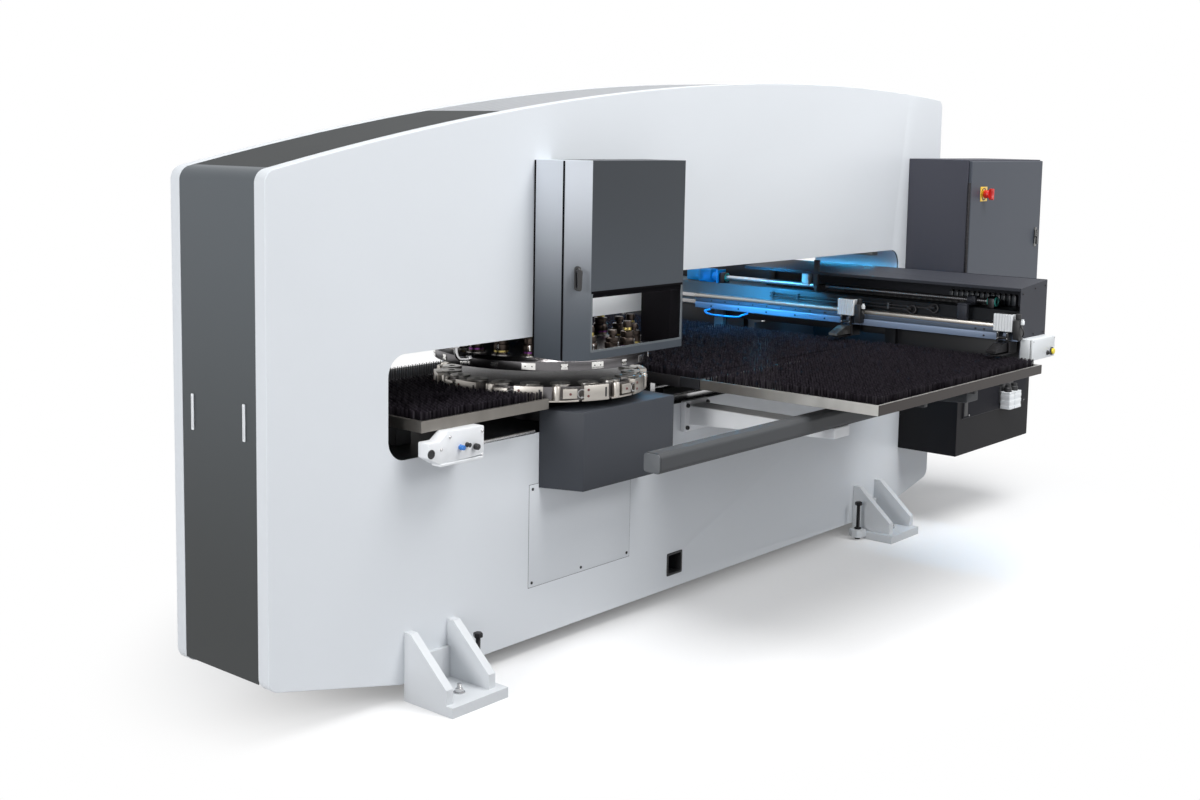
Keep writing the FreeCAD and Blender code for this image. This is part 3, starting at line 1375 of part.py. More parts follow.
def cabinet():
    """Control cabinet on the feed end: case, side box, hinged door, rotary switch, latch and lower panel."""
    case = block("Cabinet_solid", along("cabinet_left"), "-cabinet_front", "cabinet_low", "cabinet_width",
                 "(cabinet_front - half_width)", "(cabinet_top - cabinet_low)")
    room = block("Cabinet_room", along("(cabinet_left + case_wall)"), "-(cabinet_front + 1)",
                 "(door_low + case_wall)", "(cabinet_width - 2 * case_wall)",
                 "(cabinet_front - half_width - case_wall)", "(cabinet_top - door_low - 2 * case_wall)")
    side_box = block("Side_box", along("(cabinet_left + cabinet_width)"), "-(cabinet_front - side_box_inset)",
                     "side_box_low", "side_box_reach", "(cabinet_front - half_width - side_box_inset)",
                     "side_box_height")
    keep(fuse("Cabinet_and_box", [cut("Cabinet_case", case, [room]), side_box]), "cabinet")
    face = "-(cabinet_front + seat_gap + door_skin)"
    door = block("Cabinet_door_solid", along("(cabinet_left + door_margin)"), face, "door_low",
                 "(cabinet_width - 2 * door_margin)", "door_skin", "(cabinet_top - door_low - door_margin)")
    keep(door, "cabinet_door")
    plate_face = "(%s - plate_skin)" % face
    plate = block("Switch_plate", along("switch_left"), plate_face, "switch_low", "switch_plate",
                  "plate_skin", "switch_plate")
    latch_plate = block("Latch_plate", along("latch_left"), plate_face, "latch_low", "latch_width",
                        "plate_skin", "latch_height")
    keep(group("Door_plates", [plate, latch_plate]), "door_plates")
    centre, level = along("(switch_left + switch_plate / 2)"), "(switch_low + switch_plate / 2)"
    knob = rod("Switch_knob", "Y", centre, "(%s - switch_reach)" % face, level, "switch_radius",
               "(switch_reach - plate_skin - seat_gap - spindle_length)", FITTING_SIDES)
    spindle_start = "(%s - plate_skin - seat_gap - 2 * spindle_length)" % face
    spindle = rod("Switch_spindle", "Y", centre, spindle_start, level, "spindle_radius", "2 * spindle_length")
    grip = block("Switch_grip", centre + " - switch_radius / 3", "(%s - switch_reach - grip_width)" % face,
                 "(%s - grip_length / 2)" % level, "2 * switch_radius / 3", "1.5 * grip_width", "grip_length")
    keep(fuse("Switch_handle", [knob, grip, spindle]), "switch_handle")
    latch = block("Latch_arm", along("(latch_left + latch_width / 5)"), "(%s - door_skin)" % face,
                  "(latch_low + latch_height / 9)", "3 * latch_width / 5",
                  "(door_skin - plate_skin - seat_gap - spindle_length)", "7 * latch_height / 9")
    spindle = rod("Latch_spindle", "Y", along("(latch_left + latch_width / 2)"), spindle_start,
                  "(latch_low + latch_height / 2)", "spindle_radius", "2 * spindle_length")
    keep(fuse("Latch_lever", [latch, spindle]), "latch_lever")
    lower = block("Lower_panel", along("(cabinet_left + lower_panel_inset)"),
                  "-(cabinet_front + door_margin)", "lower_panel_low",
                  "(cabinet_width - 2 * lower_panel_inset)", "door_margin", "lower_panel_height")
    keep(lower, "lower_panel")
    valve = block("Valve_block", along("valve_left"), "-(cabinet_front + door_margin + box_depth)",
                  "lower_panel_low", "valve_length", "box_depth", "valve_height")
    keep(valve, "air_valve")


def air_unit():
    """Air cylinder block below the left table, with fittings and its rod."""
    body = new_body("Air_unit")
    shoulder = "(table_low - air_shoulder)"
    plan = [(along("air_left"), "(air_low + air_slant_rise)"), (along("(air_left + air_slant)"), "air_low"),
            (along("air_right"), "air_low"), (along("air_right"), "table_low"),
            (along("(air_left + air_crest)"), "table_low"), (along("(air_left + air_step)"), shoulder),
            (along("air_left"), shoulder)]
    pad(body, closed_outline(body, "XZ", plan, "air_back"), "air_depth")
    face = "(air_back + air_depth)"
    fittings = []
    for name in ("port", "fitting", "stem"):
        fittings.append(rod("Air_" + name, "Y", along(name + "_station"), "-(%s + %s_reach)" % (face, name),
                            name + "_height", name + "_radius", name + "_reach", FITTING_SIDES))
    knob = rod("Air_knob", "Y", along("air_knob_station"), "-(%s + 2 * air_knob_radius)" % face,
               "air_rod_height", "air_knob_radius", "(2 * air_knob_radius - spindle_length)", FITTING_SIDES)
    spindle = rod("Air_knob_spindle", "Y", along("air_knob_station"), "-(%s + 2 * spindle_length)" % face,
                  "air_rod_height", "spindle_radius / 2", "(2 * spindle_length - seat_gap)")
    keep(fuse("Air_knob_turned", [knob, spindle]), "air_unit_knob")
    slant = "(pedestal_corner - pedestal_left) / (pedestal_front - half_width)"
    middle = "(air_back + air_depth / 2)"
    run = "%s * (%s - air_rod_radius - half_width)" % (slant, middle)
    reach = "(pedestal_left + %s - air_right - seat_gap)" % run
    tube = rod("Air_rod", "X", along("air_right"), "-" + middle, "air_rod_height", "air_rod_radius", reach,
               FITTING_SIDES)
    keep(group("Air_unit_pieces", [body, tube] + fittings), "air_unit")


def build():
    frame_weldment()
    casing()
    feet()
    guards()
    turret()
    tables()
    beams()
    bridge()
    clamp_bar()
    clamps()
    hood()
    button_box()
    cabinet()
    air_unit()


def export():
    """Check every object and write one file for each sub-part."""
    DOC.recompute()
    for thing in DOC.Objects:
        if "Invalid" in thing.State or "Error" in thing.State:
            raise RuntimeError("%s is not up to date" % thing.Name)
    for node in NODES:
        shape = node.Shape
        if shape.isNull() or not shape.isValid() or not shape.Solids:
            raise RuntimeError("%s has no valid solid" % node.Label)
    os.makedirs("parts", exist_ok=True)
    for node in NODES:
        node.Shape.exportStep("parts/%s.step" % node.Label)
        print("%-26s %2d solids %10.0f cm3" % (node.Label, len(node.Shape.Solids), node.Shape.Volume / 1000))


build()
export()
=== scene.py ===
"""Looks of a turret punch press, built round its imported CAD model.

Each sub-assembly is a class that builds its own pieces. New surfaces are worked out with numpy in the row frame:
metres, +X along the frame, -Y towards the operator, +Z up. Stations along the frame are measured from its left
end, as a maker would, and turned into X by ``along``.
"""

from __future__ import annotations

import json
import logging
import math
from dataclasses import dataclass, field
from enum import Enum
from typing import Callable, Iterable, Sequence

import bmesh
import bpy
import numpy as np
from mathutils import Matrix, Vector

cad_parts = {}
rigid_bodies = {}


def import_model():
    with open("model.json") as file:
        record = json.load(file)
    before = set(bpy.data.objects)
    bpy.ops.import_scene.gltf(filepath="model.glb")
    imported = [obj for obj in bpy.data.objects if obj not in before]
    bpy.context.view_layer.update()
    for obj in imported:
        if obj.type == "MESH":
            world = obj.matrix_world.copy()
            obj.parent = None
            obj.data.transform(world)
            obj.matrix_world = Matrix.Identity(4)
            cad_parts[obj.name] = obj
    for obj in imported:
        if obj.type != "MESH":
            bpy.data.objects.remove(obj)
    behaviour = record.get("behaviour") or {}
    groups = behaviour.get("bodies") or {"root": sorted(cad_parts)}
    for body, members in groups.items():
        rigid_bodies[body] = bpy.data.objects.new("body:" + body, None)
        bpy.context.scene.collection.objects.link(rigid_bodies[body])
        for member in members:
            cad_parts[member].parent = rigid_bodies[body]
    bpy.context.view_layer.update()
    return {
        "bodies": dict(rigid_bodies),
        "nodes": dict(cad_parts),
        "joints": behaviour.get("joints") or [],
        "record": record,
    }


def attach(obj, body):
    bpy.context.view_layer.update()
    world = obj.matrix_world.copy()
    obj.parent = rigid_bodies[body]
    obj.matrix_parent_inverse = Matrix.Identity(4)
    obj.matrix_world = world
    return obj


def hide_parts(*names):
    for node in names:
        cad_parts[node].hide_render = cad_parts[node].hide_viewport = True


LOG = logging.getLogger("punch_press")
LEFT_REACH = 2.342

Pair = tuple[float, float]
Triple = tuple[float, float, float]
Colour = Triple


def along(station: float) -> float:
    """X of a station measured from the frame's left end."""
    return station - LEFT_REACH


class Axis(Enum):
    """Direction that a shape's own Z is laid along."""

    X = 0
    Y = 1
    Z = 2


X, Y, Z = Axis


# ------------------------------------------------------------------ shapes

@dataclass
class Shape:
    """Points and faces of one or more closed surfaces.

    Args:
        points: Array of n points.
        quads: Array of m faces with four corners each.
        caps: Faces with any number of corners.
    """

    points: np.ndarray
    quads: np.ndarray
    caps: list[list[int]] = field(default_factory=list)

    def moved(self, x: float = 0.0, y: float = 0.0, z: float = 0.0) -> Shape:
        """The same shape shifted."""
        return Shape(self.points + np.array([x, y, z]), self.quads, self.caps)

    def at(self, station: float, y: float, z: float) -> Shape:
        """The same shape moved to a station."""
        return self.moved(along(station), y, z)

    def laid(self, axis: Axis) -> Shape:
        """The same shape with its own Z laid along an axis, by a cyclic swap that keeps faces outward."""
        return Shape(np.roll(self.points, (axis.value + 1) % 3, axis=1), self.quads, self.caps)

    def turned(self, angle: float, axis: Axis = Z) -> Shape:
        """The same shape turned about an axis through the origin, by the right-hand rule."""
        spin = np.array(Matrix.Rotation(angle, 3, axis.name))
        return Shape(self.points @ spin.T, self.quads, self.caps)

    def mirrored(self, axis: Axis) -> Shape:
        """Mirror image across the plane square to an axis, with its faces turned outward again."""
        points = self.points.copy()
        points[:, axis.value] *= -1
        return Shape(points, self.quads[:, ::-1], [cap[::-1] for cap in self.caps])

    def facing(self) -> Shape:
        """The same shape with its own Z laid towards the operator."""
        return self.laid(Y).mirrored(Y)

    def repeated(self, places: Sequence[Triple], angles: np.ndarray | None = None) -> Shape:
        """Copies of the shape, each turned about its own Z and then moved.

        Args:
            places: Offsets of the k copies.
            angles: Turn of each copy, or None for no turn.

        Returns:
            One shape with every copy, as whole-array arithmetic: p' = R(angle) p + place.
        """
        places = np.asarray(places, float)
        angles = np.zeros(len(places)) if angles is None else np.asarray(angles, float)
        cosine, sine = np.cos(angles)[:, None], np.sin(angles)[:, None]
        x, y, z = self.points.T
        turned = [x * cosine - y * sine, x * sine + y * cosine, np.broadcast_to(z, (len(places), len(z)))]
        points = (np.stack(turned, 2) + places[:, None, :]).reshape(-1, 3)
        steps = np.arange(len(places)) * len(self.points)
        quads = (self.quads[None] + steps[:, None, None]).reshape(-1, 4)
        return Shape(points, quads, [[corner + int(step) for corner in cap] for step in steps for cap in self.caps])


def joined(shapes: Iterable[Shape]) -> Shape:
    """Several shapes as one."""
    points, quads, caps, count = [], [], [], 0
    for shape in shapes:
        points.append(shape.points)
        quads.append(shape.quads + count)
        caps.extend([corner + count for corner in cap] for cap in shape.caps)
        count += len(shape.points)
    return Shape(np.vstack(points), np.vstack(quads), caps)


def circle(sides: int) -> np.ndarray:
    """Even angles once round."""
    return np.linspace(0, 2 * np.pi, sides, endpoint=False)


def grid_shape(points: np.ndarray, wrap_rows: bool = False, wrap_columns: bool = False) -> Shape:
    """Quads over a grid of points.

    Args:
        points: Array of rows x columns x 3.
        wrap_rows: Join the last row to the first.
        wrap_columns: Join the last column to the first.

    Returns:
        The surface, facing outward where rows x columns turn that way.
    """
    index = np.arange(points[..., 0].size).reshape(points.shape[:2])
    index = np.vstack([index, index[:1]]) if wrap_rows else index
    index = np.hstack([index, index[:, :1]]) if wrap_columns else index
    quads = np.stack([index[:-1, :-1], index[:-1, 1:], index[1:, 1:], index[1:, :-1]], 2).reshape(-1, 4)
    return Shape(points.reshape(-1, 3), quads)


def solid(rings: np.ndarray) -> Shape:
    """Solid with flat ends over rings of points, an array of rings x corners x 3."""
    shape = grid_shape(rings, wrap_columns=True)
    count = rings.shape[1]
    last = (len(rings) - 1) * count
    shape.caps = [list(range(count))[::-1], list(range(last, last + count))]
    return shape


def rounded_outline(corners: Sequence[Pair], radii: float | Sequence[float], steps: int = 4) -> np.ndarray:
    """Closed outline with rounded corners, counterclockwise.

    A corner p between unit directions a and b to its neighbours is rounded by the circle of radius r whose centre
    is p + (a + b) / |a + b| * r / sin(half the angle), swept from one tangent point to the other.
    """
    corners = np.asarray(corners, float)
    radii = np.broadcast_to(np.asarray(radii, float), (len(corners),))
    before = np.roll(corners, 1, 0) - corners
    after = np.roll(corners, -1, 0) - corners
    before /= np.linalg.norm(before, axis=1)[:, None]
    after /= np.linalg.norm(after, axis=1)[:, None]
    half = np.arccos(np.clip((before * after).sum(1), -1, 1)) / 2
    middle = before + after
    middle /= np.linalg.norm(middle, axis=1)[:, None]
    centre = corners + middle * (radii / np.sin(half))[:, None]
    start = corners + before * (radii / np.tan(half))[:, None] - centre
    finish = corners + after * (radii / np.tan(half))[:, None] - centre
    begin = np.arctan2(start[:, 1], start[:, 0])
    sweep = (np.arctan2(finish[:, 1], finish[:, 0]) - begin + np.pi) % (2 * np.pi) - np.pi
    angle = begin[:, None] + sweep[:, None] * np.linspace(0, 1, steps)[None]
    arcs = centre[:, None] + radii[:, None, None] * np.stack([np.cos(angle), np.sin(angle)], 2)
    return arcs.reshape(-1, 2)


def rectangle(low: Pair, high: Pair) -> list[Pair]:
    """Corners of a rectangle, counterclockwise."""
    return [(low[0], low[1]), (high[0], low[1]), (high[0], high[1]), (low[0], high[1])]


def counterclockwise(rows: np.ndarray) -> np.ndarray:
    """Rows that begin with x and y, turned round where their area, the sum of x1 y2 - x2 y1, is negative."""
    x, y = rows.T[:2]
    area = (x * np.roll(y, -1) - np.roll(x, -1) * y).sum()
    return rows[::-1] if area < 0 else rows


def side_outline(corners: Sequence[Pair], radii: float | Sequence[float], steps: int = 4) -> np.ndarray:
    """Rounded outline from (station, Z) corners in either sense, ready to be laid along Y, whose axes are (Z, X)."""
    swapped = np.array([(z, along(station)) for station, z in corners])
    radii = np.broadcast_to(np.asarray(radii, float), (len(swapped),))
    turned = counterclockwise(np.column_stack([swapped, radii]))
    return rounded_outline(turned[:, :2], turned[:, 2], steps)


def column(outline: np.ndarray, levels: Sequence[Pair]) -> Shape:
    """A closed outline carried up through levels.

    Args:
        outline: Array of n x 2 points, counterclockwise.
        levels: Pairs (inset, height); each level's outline is moved inwards by its inset along the mitred normal
            n = (n1 + n2) / (1 + n1 . n2) of its two sides.

    Returns:
        A closed shape with flat ends.
    """
    side = np.roll(outline, -1, 0) - outline
    side /= np.maximum(np.linalg.norm(side, axis=1), 1e-12)[:, None]
    normal = np.stack([side[:, 1], -side[:, 0]], 1)
    previous = np.roll(normal, 1, 0)
    mitre = (normal + previous) / (1 + (normal * previous).sum(1))[:, None]
    inset, height = np.asarray(levels, float).T
    flat = outline[None] - inset[:, None, None] * mitre[None]
    return solid(np.concatenate([flat, np.broadcast_to(height[:, None, None], flat.shape[:2] + (1,))], 2))


def soft_levels(low: float, high: float, radius: float, steps: int = 3) -> list[Pair]:
    """Levels of a wall whose two rims are rounded: inset r (1 - cos a) and height r (1 - sin a) from each end."""
    angles = np.linspace(0, math.pi / 2, steps)
    rim = [(radius * (1 - math.cos(a)), radius * (1 - math.sin(a))) for a in angles]
    return [(i, low + h) for i, h in rim[::-1]] + [(i, high - h) for i, h in rim]


def prism(outline: np.ndarray, low: float, high: float, radius: float, axis: Axis = Z) -> Shape:
    """Any outline carried along an axis, with its two rims rounded."""
    return column(outline, soft_levels(low, high, radius)).laid(axis)


def block(low: Triple, high: Triple, radius: float = 0.001, axis: Axis = Z) -> Shape:
    """Box with rounded edges, as a rounded rectangle carried along an axis."""
    order = np.roll(np.arange(3), -1 - axis.value)
    low, high = np.asarray(low, float)[order], np.asarray(high, float)[order]
    return prism(rounded_outline(rectangle(low, high), radius, 3), low[2], high[2], radius, axis)


def slabs(radius: float, axis: Axis, *rows: Sequence[float]) -> Shape:
    """Boxes with rounded edges as one shape; each row is a low and a high corner as station, Y and Z."""
    return joined(block((along(row[0]), *row[1:3]), (along(row[3]), *row[4:]), radius, axis) for row in rows)


def revolved(profile: Sequence[Pair], sides: int) -> np.ndarray:
    """Rings of a profile (radius, height) turned about Z: p = (r cos t, r sin t, z)."""
    radius, height = np.asarray(profile, float).T[:, :, None]
    turn = circle(sides)
    return np.stack([radius * np.cos(turn), radius * np.sin(turn), np.broadcast_to(height, (len(profile), sides))], 2)


def lathe(profile: Sequence[Pair], sides: int = 48) -> Shape:
    """Solid turned about Z from a profile that rises along its outside."""
    return solid(revolved(profile, sides))


def collar(profile: Sequence[Pair], sides: int = 48) -> Shape:
    """Ring turned about Z from a closed profile, counterclockwise in the radius-height plane."""
    return grid_shape(revolved(profile, sides), wrap_rows=True, wrap_columns=True)


def tube(path: Sequence[Triple], radius: float, sides: int, steps: int) -> Shape:
    """Round tube along a Catmull-Rom curve through the path's points.

    Each ring lies in the plane square to the curve, p = c(s) + r (u cos t + v sin t), with u and v from the
    tangent and a fixed reference direction.

    Args:
        path: Points as station, Y and Z.
        radius: Radius of the tube.
        sides: Corners of a ring.
        steps: Rings between two points of the path.
    """
    path = np.array([(along(station), y, z) for station, y, z in path])
    padded = np.vstack([2 * path[0] - path[1], path, 2 * path[-1] - path[-2]])
    spans = len(path) - 1
    s = np.linspace(0, spans, steps * spans + 1)
    k = np.minimum(s.astype(int), spans - 1)
    t = (s - k)[:, None]
    p0, p1, p2, p3 = (padded[k + shift] for shift in range(4))
    line = 0.5 * (2 * p1 + (p2 - p0) * t + (2 * p0 - 5 * p1 + 4 * p2 - p3) * t**2 + (3 * p1 - p0 - 3 * p2 + p3) * t**3)
    tangent = np.gradient(line, axis=0)
    tangent /= np.linalg.norm(tangent, axis=1)[:, None]
    reference = np.array([0.0, 0.0, 1.0]) if abs(tangent[:, 2]).max() < 0.9 else np.array([0.83, 0.55, 0.05])
    u = np.cross(tangent, reference)
    u /= np.linalg.norm(u, axis=1)[:, None]
    v = np.cross(tangent, u)
    turn = circle(sides)
    ring = u[:, None] * np.cos(turn)[None, :, None] + v[:, None] * np.sin(turn)[None, :, None]
    return solid(line[:, None] + radius * ring)


def plate(corners: Sequence[Pair], radii: float | Sequence[float], low: float, high: float, soft: float,
          steps: int = 4) -> Shape:
    """Rounded outline of (station, Z) corners, carried along Y from low to high with soft rims."""
    return prism(side_outline(corners, radii, steps), low, high, soft, Y)


def frame_strip(low: Pair, high: Pair, inset: float, front: float, back: float) -> Shape:
    """Rectangular frame from station and Z, of a width and between two Y, carried round its four corners."""
    outer = rectangle(low, high)
    inner = rectangle((low[0] + inset, low[1] + inset), (high[0] - inset, high[1] - inset))
    rings = []
    for corners, depth in ((outer, back), (outer, front + 0.001), (inner, front), (inner, back)):
        outline = side_outline(corners, 0.006)
        rings.append(np.stack([outline[:, 1], np.full(len(outline), depth), outline[:, 0]], 1))
    return grid_shape(np.stack(rings)[::-1], wrap_rows=True, wrap_columns=True)


def even_polygon(radius: float, sides: int) -> np.ndarray:
    """Corners of an even polygon, p = r (cos t, sin t)."""
    return radius * np.stack([np.cos(circle(sides)), np.sin(circle(sides))], 1)


def socket_screw(radius: float, height: float) -> Shape:
    """Cap screw head that stands on z = 0, with a chamfered rim and a sunk drive."""
    profile = [(1, 0), (1, 0.8), (0.88, 1), (0.56, 1), (0.52, 0.4)]
    return lathe([(radius * r, height * h) for r, h in profile], 14)


def screws(radius: float, height: float, places: Iterable[Triple], axis: Axis = Y) -> Shape:
    """Cap screws at places as station, Y and Z, with heads towards the low end of an axis, or upward for Z."""
    head = socket_screw(radius, height).laid(axis)
    head = head if axis is Z else head.mirrored(axis)
    return head.repeated([(along(station), y, z) for station, y, z in places])


def hexagon_bolt(radius: float, height: float) -> Shape:
    """Hexagon head on its washer, standing on z = 0."""
    washer = lathe([(1.35 * radius, 0.0), (1.35 * radius, 0.18 * height), (0.6 * radius, 0.18 * height)], 20)
    head = column(even_polygon(radius, 6), [(0.0, 0.16 * height), (0.0, 0.85 * height), (0.14 * radius, height)])
    return joined([washer, head])


def threaded_rod(radius: float, depth: float, pitch: float, length: float, sides: int = 20) -> Shape:
    """Rod on z = 0 with a helical thread: r(t, z) = R - d (1 + cos(2 pi z / p - t)) / 2."""
    height = np.linspace(0, length, int(length / pitch * 4) + 1)[:, None]
    turn = circle(sides)[None]
    r = radius - depth * (1 + np.cos(2 * np.pi * height / pitch - turn)) / 2
    return solid(np.stack([r * np.cos(turn), r * np.sin(turn), np.broadcast_to(height, r.shape)], 2))


def coil(radius: float, wire: float, low: float, high: float, turns: float) -> Shape:
    """Helical spring: a ring of the wire's radius carried along c(s) = (R cos s, R sin s, low + rise s)."""
    steps = int(turns * 20)
    s = np.linspace(0, 2 * np.pi * turns, steps)
    line = np.stack([radius * np.cos(s), radius * np.sin(s), np.linspace(low, high, steps)], 1)
    outward = np.stack([np.cos(s), np.sin(s), np.zeros(steps)], 1)
    turn = circle(8)[None, :, None]
    ring = outward[:, None] * np.cos(turn) + np.array([0, 0, 1.0]) * np.sin(turn)
    return solid((line[:, None] + wire * ring)[::-1])


def ribbed_block(low: Triple, high: Triple, ribs: int, depth: float, radius: float) -> Shape:
    """Upright block whose sides are grooved: its outline's inset swings between 0 and a depth up its height."""
    step = (high[2] - low[2]) / (ribs * 4)
    heights = low[2] + step * (np.arange(4 * ribs) + np.tile([0.0, 0.9, 0.0, 0.9], ribs))
    levels = [(0.002, low[2] - 1e-5), *zip(np.tile([0.0, 0.0, depth, depth], ribs), heights),
              (0.0, high[2] - 0.002), (0.002, high[2])]
    return column(rounded_outline(rectangle(low, high), radius, 4), levels)


# ------------------------------------------------------------------ shader graphs

class Socket:
    """Value in a shader graph. Arithmetic on it adds Math nodes to the graph."""

    def __init__(self, graph: ShaderGraph, output: bpy.types.NodeSocket) -> None:
        """Wrap an output of a node."""
        self.graph = graph
        self.output = output

    def __add__(self, other: Socket | float) -> Socket:
        """Sum."""
        return self.graph.math("ADD", self, other)

    def __sub__(self, other: Socket | float) -> Socket:
        """Difference."""
        return self.graph.math("SUBTRACT", self, other)

    def __rsub__(self, other: float) -> Socket:
        """Difference from a number."""
        return self.graph.math("SUBTRACT", other, self)

    def __mul__(self, other: Socket | float) -> Socket:
        """Product."""
        return self.graph.math("MULTIPLY", self, other)

    __radd__ = __add__
    __rmul__ = __mul__

    def ramp(self, low: float, high: float) -> Socket:
        """Smooth step from 0 at low to 1 at high."""
        settings = {"interpolation_type": "SMOOTHSTEP"}
        values = {"Value": self, "From Min": low, "From Max": high}
        return Socket(self.graph, self.graph.node("ShaderNodeMapRange", settings, values).outputs[0])


class ShaderGraph:
    """Node tree of one material, with a Principled shader already wired to its output."""

    def __init__(self, name: str) -> None:
        """Make the material."""
        self.material = bpy.data.materials.new(name)
        self.material.use_nodes = True
        self.tree = self.material.node_tree
        self.shader = next(node for node in self.tree.nodes if node.type == "BSDF_PRINCIPLED")

    def node(self, kind: str, settings: dict | None = None, values: dict | None = None) -> bpy.types.Node:
        """Add a node.

        Args:
            kind: The node's type.
            settings: Properties that are set first.
            values: Input name or number to a number, a tuple, a Socket or an output.

        Returns:
            The node.
        """
        node = self.tree.nodes.new(kind)
        for key, value in (settings or {}).items():
            setattr(node, key, value)
        for key, value in (values or {}).items():
            self.feed(node.inputs[key], value)
        return node

    def feed(self, entry: bpy.types.NodeSocket, value: object) -> None:
        """Link or set one input."""
        if isinstance(value, Socket):
            self.tree.links.new(value.output, entry)
        elif isinstance(value, bpy.types.NodeSocket):
            self.tree.links.new(value, entry)
        else:
            entry.default_value = value

    def math(self, operation: str, first: Socket | float, second: Socket | float) -> Socket:
        """One Math node."""
        return Socket(self, self.node("ShaderNodeMath", {"operation": operation}, {0: first, 1: second}).outputs[0])

    def place(self, stretch: Triple = (1.0, 1.0, 1.0)) -> bpy.types.NodeSocket:
        """Object coordinates, stretched along the axes."""
        coordinates = self.node("ShaderNodeTexCoord").outputs["Object"]
        if stretch == (1.0, 1.0, 1.0):
            return coordinates
        return self.node("ShaderNodeMapping", None, {"Vector": coordinates, "Scale": stretch}).outputs[0]

    def axes(self) -> tuple[Socket, Socket, Socket]:
        """Object X, Y and Z as values."""
        split = self.node("ShaderNodeSeparateXYZ", None, {0: self.place()})
        return tuple(Socket(self, output) for output in split.outputs[:3])

    def noise(self, scale: float, detail: float = 2.0, stretch: Triple = (1.0, 1.0, 1.0)) -> Socket:
        """Noise between 0 and 1 in object space."""
        values = {"Vector": self.place(stretch), "Scale": scale, "Detail": detail}
        return Socket(self, self.node("ShaderNodeTexNoise", None, values).outputs[0])

    def mix(self, factor: Socket | float, first: object, second: object) -> bpy.types.NodeSocket:
        """Colour between two colours."""
        values = {0: factor, 6: paint_value(first), 7: paint_value(second)}
        return self.node("ShaderNodeMix", {"data_type": "RGBA"}, values).outputs[2]

    def bump(self, height: Socket, strength: float, distance: float) -> None:
        """Feed the shader's normal with a bump of a height."""
        values = {"Height": height, "Strength": strength, "Distance": distance}
        self.feed(self.shader.inputs["Normal"], self.node("ShaderNodeBump", None, values).outputs[0])

    def set(self, **values: object) -> None:
        """Set or link the shader's inputs; an underscore stands for a space."""
        for key, value in values.items():
            self.feed(self.shader.inputs[key.replace("_", " ")], paint_value(value))


def paint_value(value: object) -> object:
    """A colour as four numbers, and anything else unchanged."""
    return (*value, 1.0) if isinstance(value, tuple) and len(value) == 3 else value


def srgb(red: float, green: float, blue: float) -> Colour:
    """Linear colour of an 8-bit display colour: ((c + 0.055) / 1.055) ** 2.4."""
    scaled = np.array([red, green, blue]) / 255
    linear = np.where(scaled <= 0.04045, scaled / 12.92, ((scaled + 0.055) / 1.055) ** 2.4)
    return tuple(float(value) for value in linear)


def shaded(colour: Colour, factor: float) -> Colour:
    """The colour made lighter or darker."""
    return tuple(min(channel * factor, 1.0) for channel in colour)


# ------------------------------------------------------------------ finishes

@dataclass(frozen=True)
class Finish:
    """Look of one material.

    Args:
        name: Material name.
    """

    name: str

    def build(self) -> bpy.types.Material:
        """The material."""
        graph = ShaderGraph(self.name)
        self.fill(graph)
        return graph.material

    def fill(self, graph: ShaderGraph) -> None:
        """Wire the material's graph."""
        raise NotImplementedError


@dataclass(frozen=True)
class Paint(Finish):
    """Sprayed machine paint with orange peel and faint clouds.

    Args:
        colour: Linear base colour.
        roughness: Middle roughness.
        peel: Strength of the orange peel.
        coat: Weight of the clear coat.
        clouds: Depth of the broad tone variation.
        sheen: Specular level, lower for flat dark paint.
    """

    colour: Colour
    roughness: float = 0.42
    peel: float = 0.12
    coat: float = 0.15
    clouds: float = 0.05
    sheen: float = 0.45

    def fill(self, graph: ShaderGraph) -> None:
        """Clouds in the colour, specks in the roughness."""
        cloud, speck = graph.noise(1.7, 3.0), graph.noise(260.0)
        tone = graph.mix(cloud, shaded(self.colour, 1 - self.clouds), shaded(self.colour, 1 + self.clouds))
        graph.set(Base_Color=tone, Roughness=self.roughness - 0.05 + 0.1 * cloud + 0.04 * speck,
                  Coat_Weight=self.coat, Coat_Roughness=0.25, Specular_IOR_Level=self.sheen)
        graph.bump(graph.noise(420.0, 1.0), self.peel, 0.0004)


@dataclass(frozen=True)
class PaintedLightRamp(Finish):
    """Paint whose tone shifts along one axis in painted light and shade, as on a tall cover under soft light.

    Args:
        low_colour: Colour at the low end.
        high_colour: Colour at the high end.
        low: Place where the shift begins, in object space.
        high: Place where it ends.
        roughness: Middle roughness.
        axis: Axis that the shift runs along.
    """

    low_colour: Colour
    high_colour: Colour
    low: float
    high: float
    roughness: float = 0.4
    axis: Axis = Z

    def fill(self, graph: ShaderGraph) -> None:
        """A ramp between the colours, with a little cloud in it."""
        place = graph.axes()[self.axis.value].ramp(self.low, self.high)
        cloud = graph.noise(2.3, 3.0)
        tone = graph.mix(place * 0.94 + 0.06 * cloud, self.low_colour, self.high_colour)
        graph.set(Base_Color=tone, Roughness=self.roughness - 0.04 + 0.08 * cloud, Specular_IOR_Level=0.2)
        graph.bump(graph.noise(420.0, 1.0), 0.12, 0.0004)


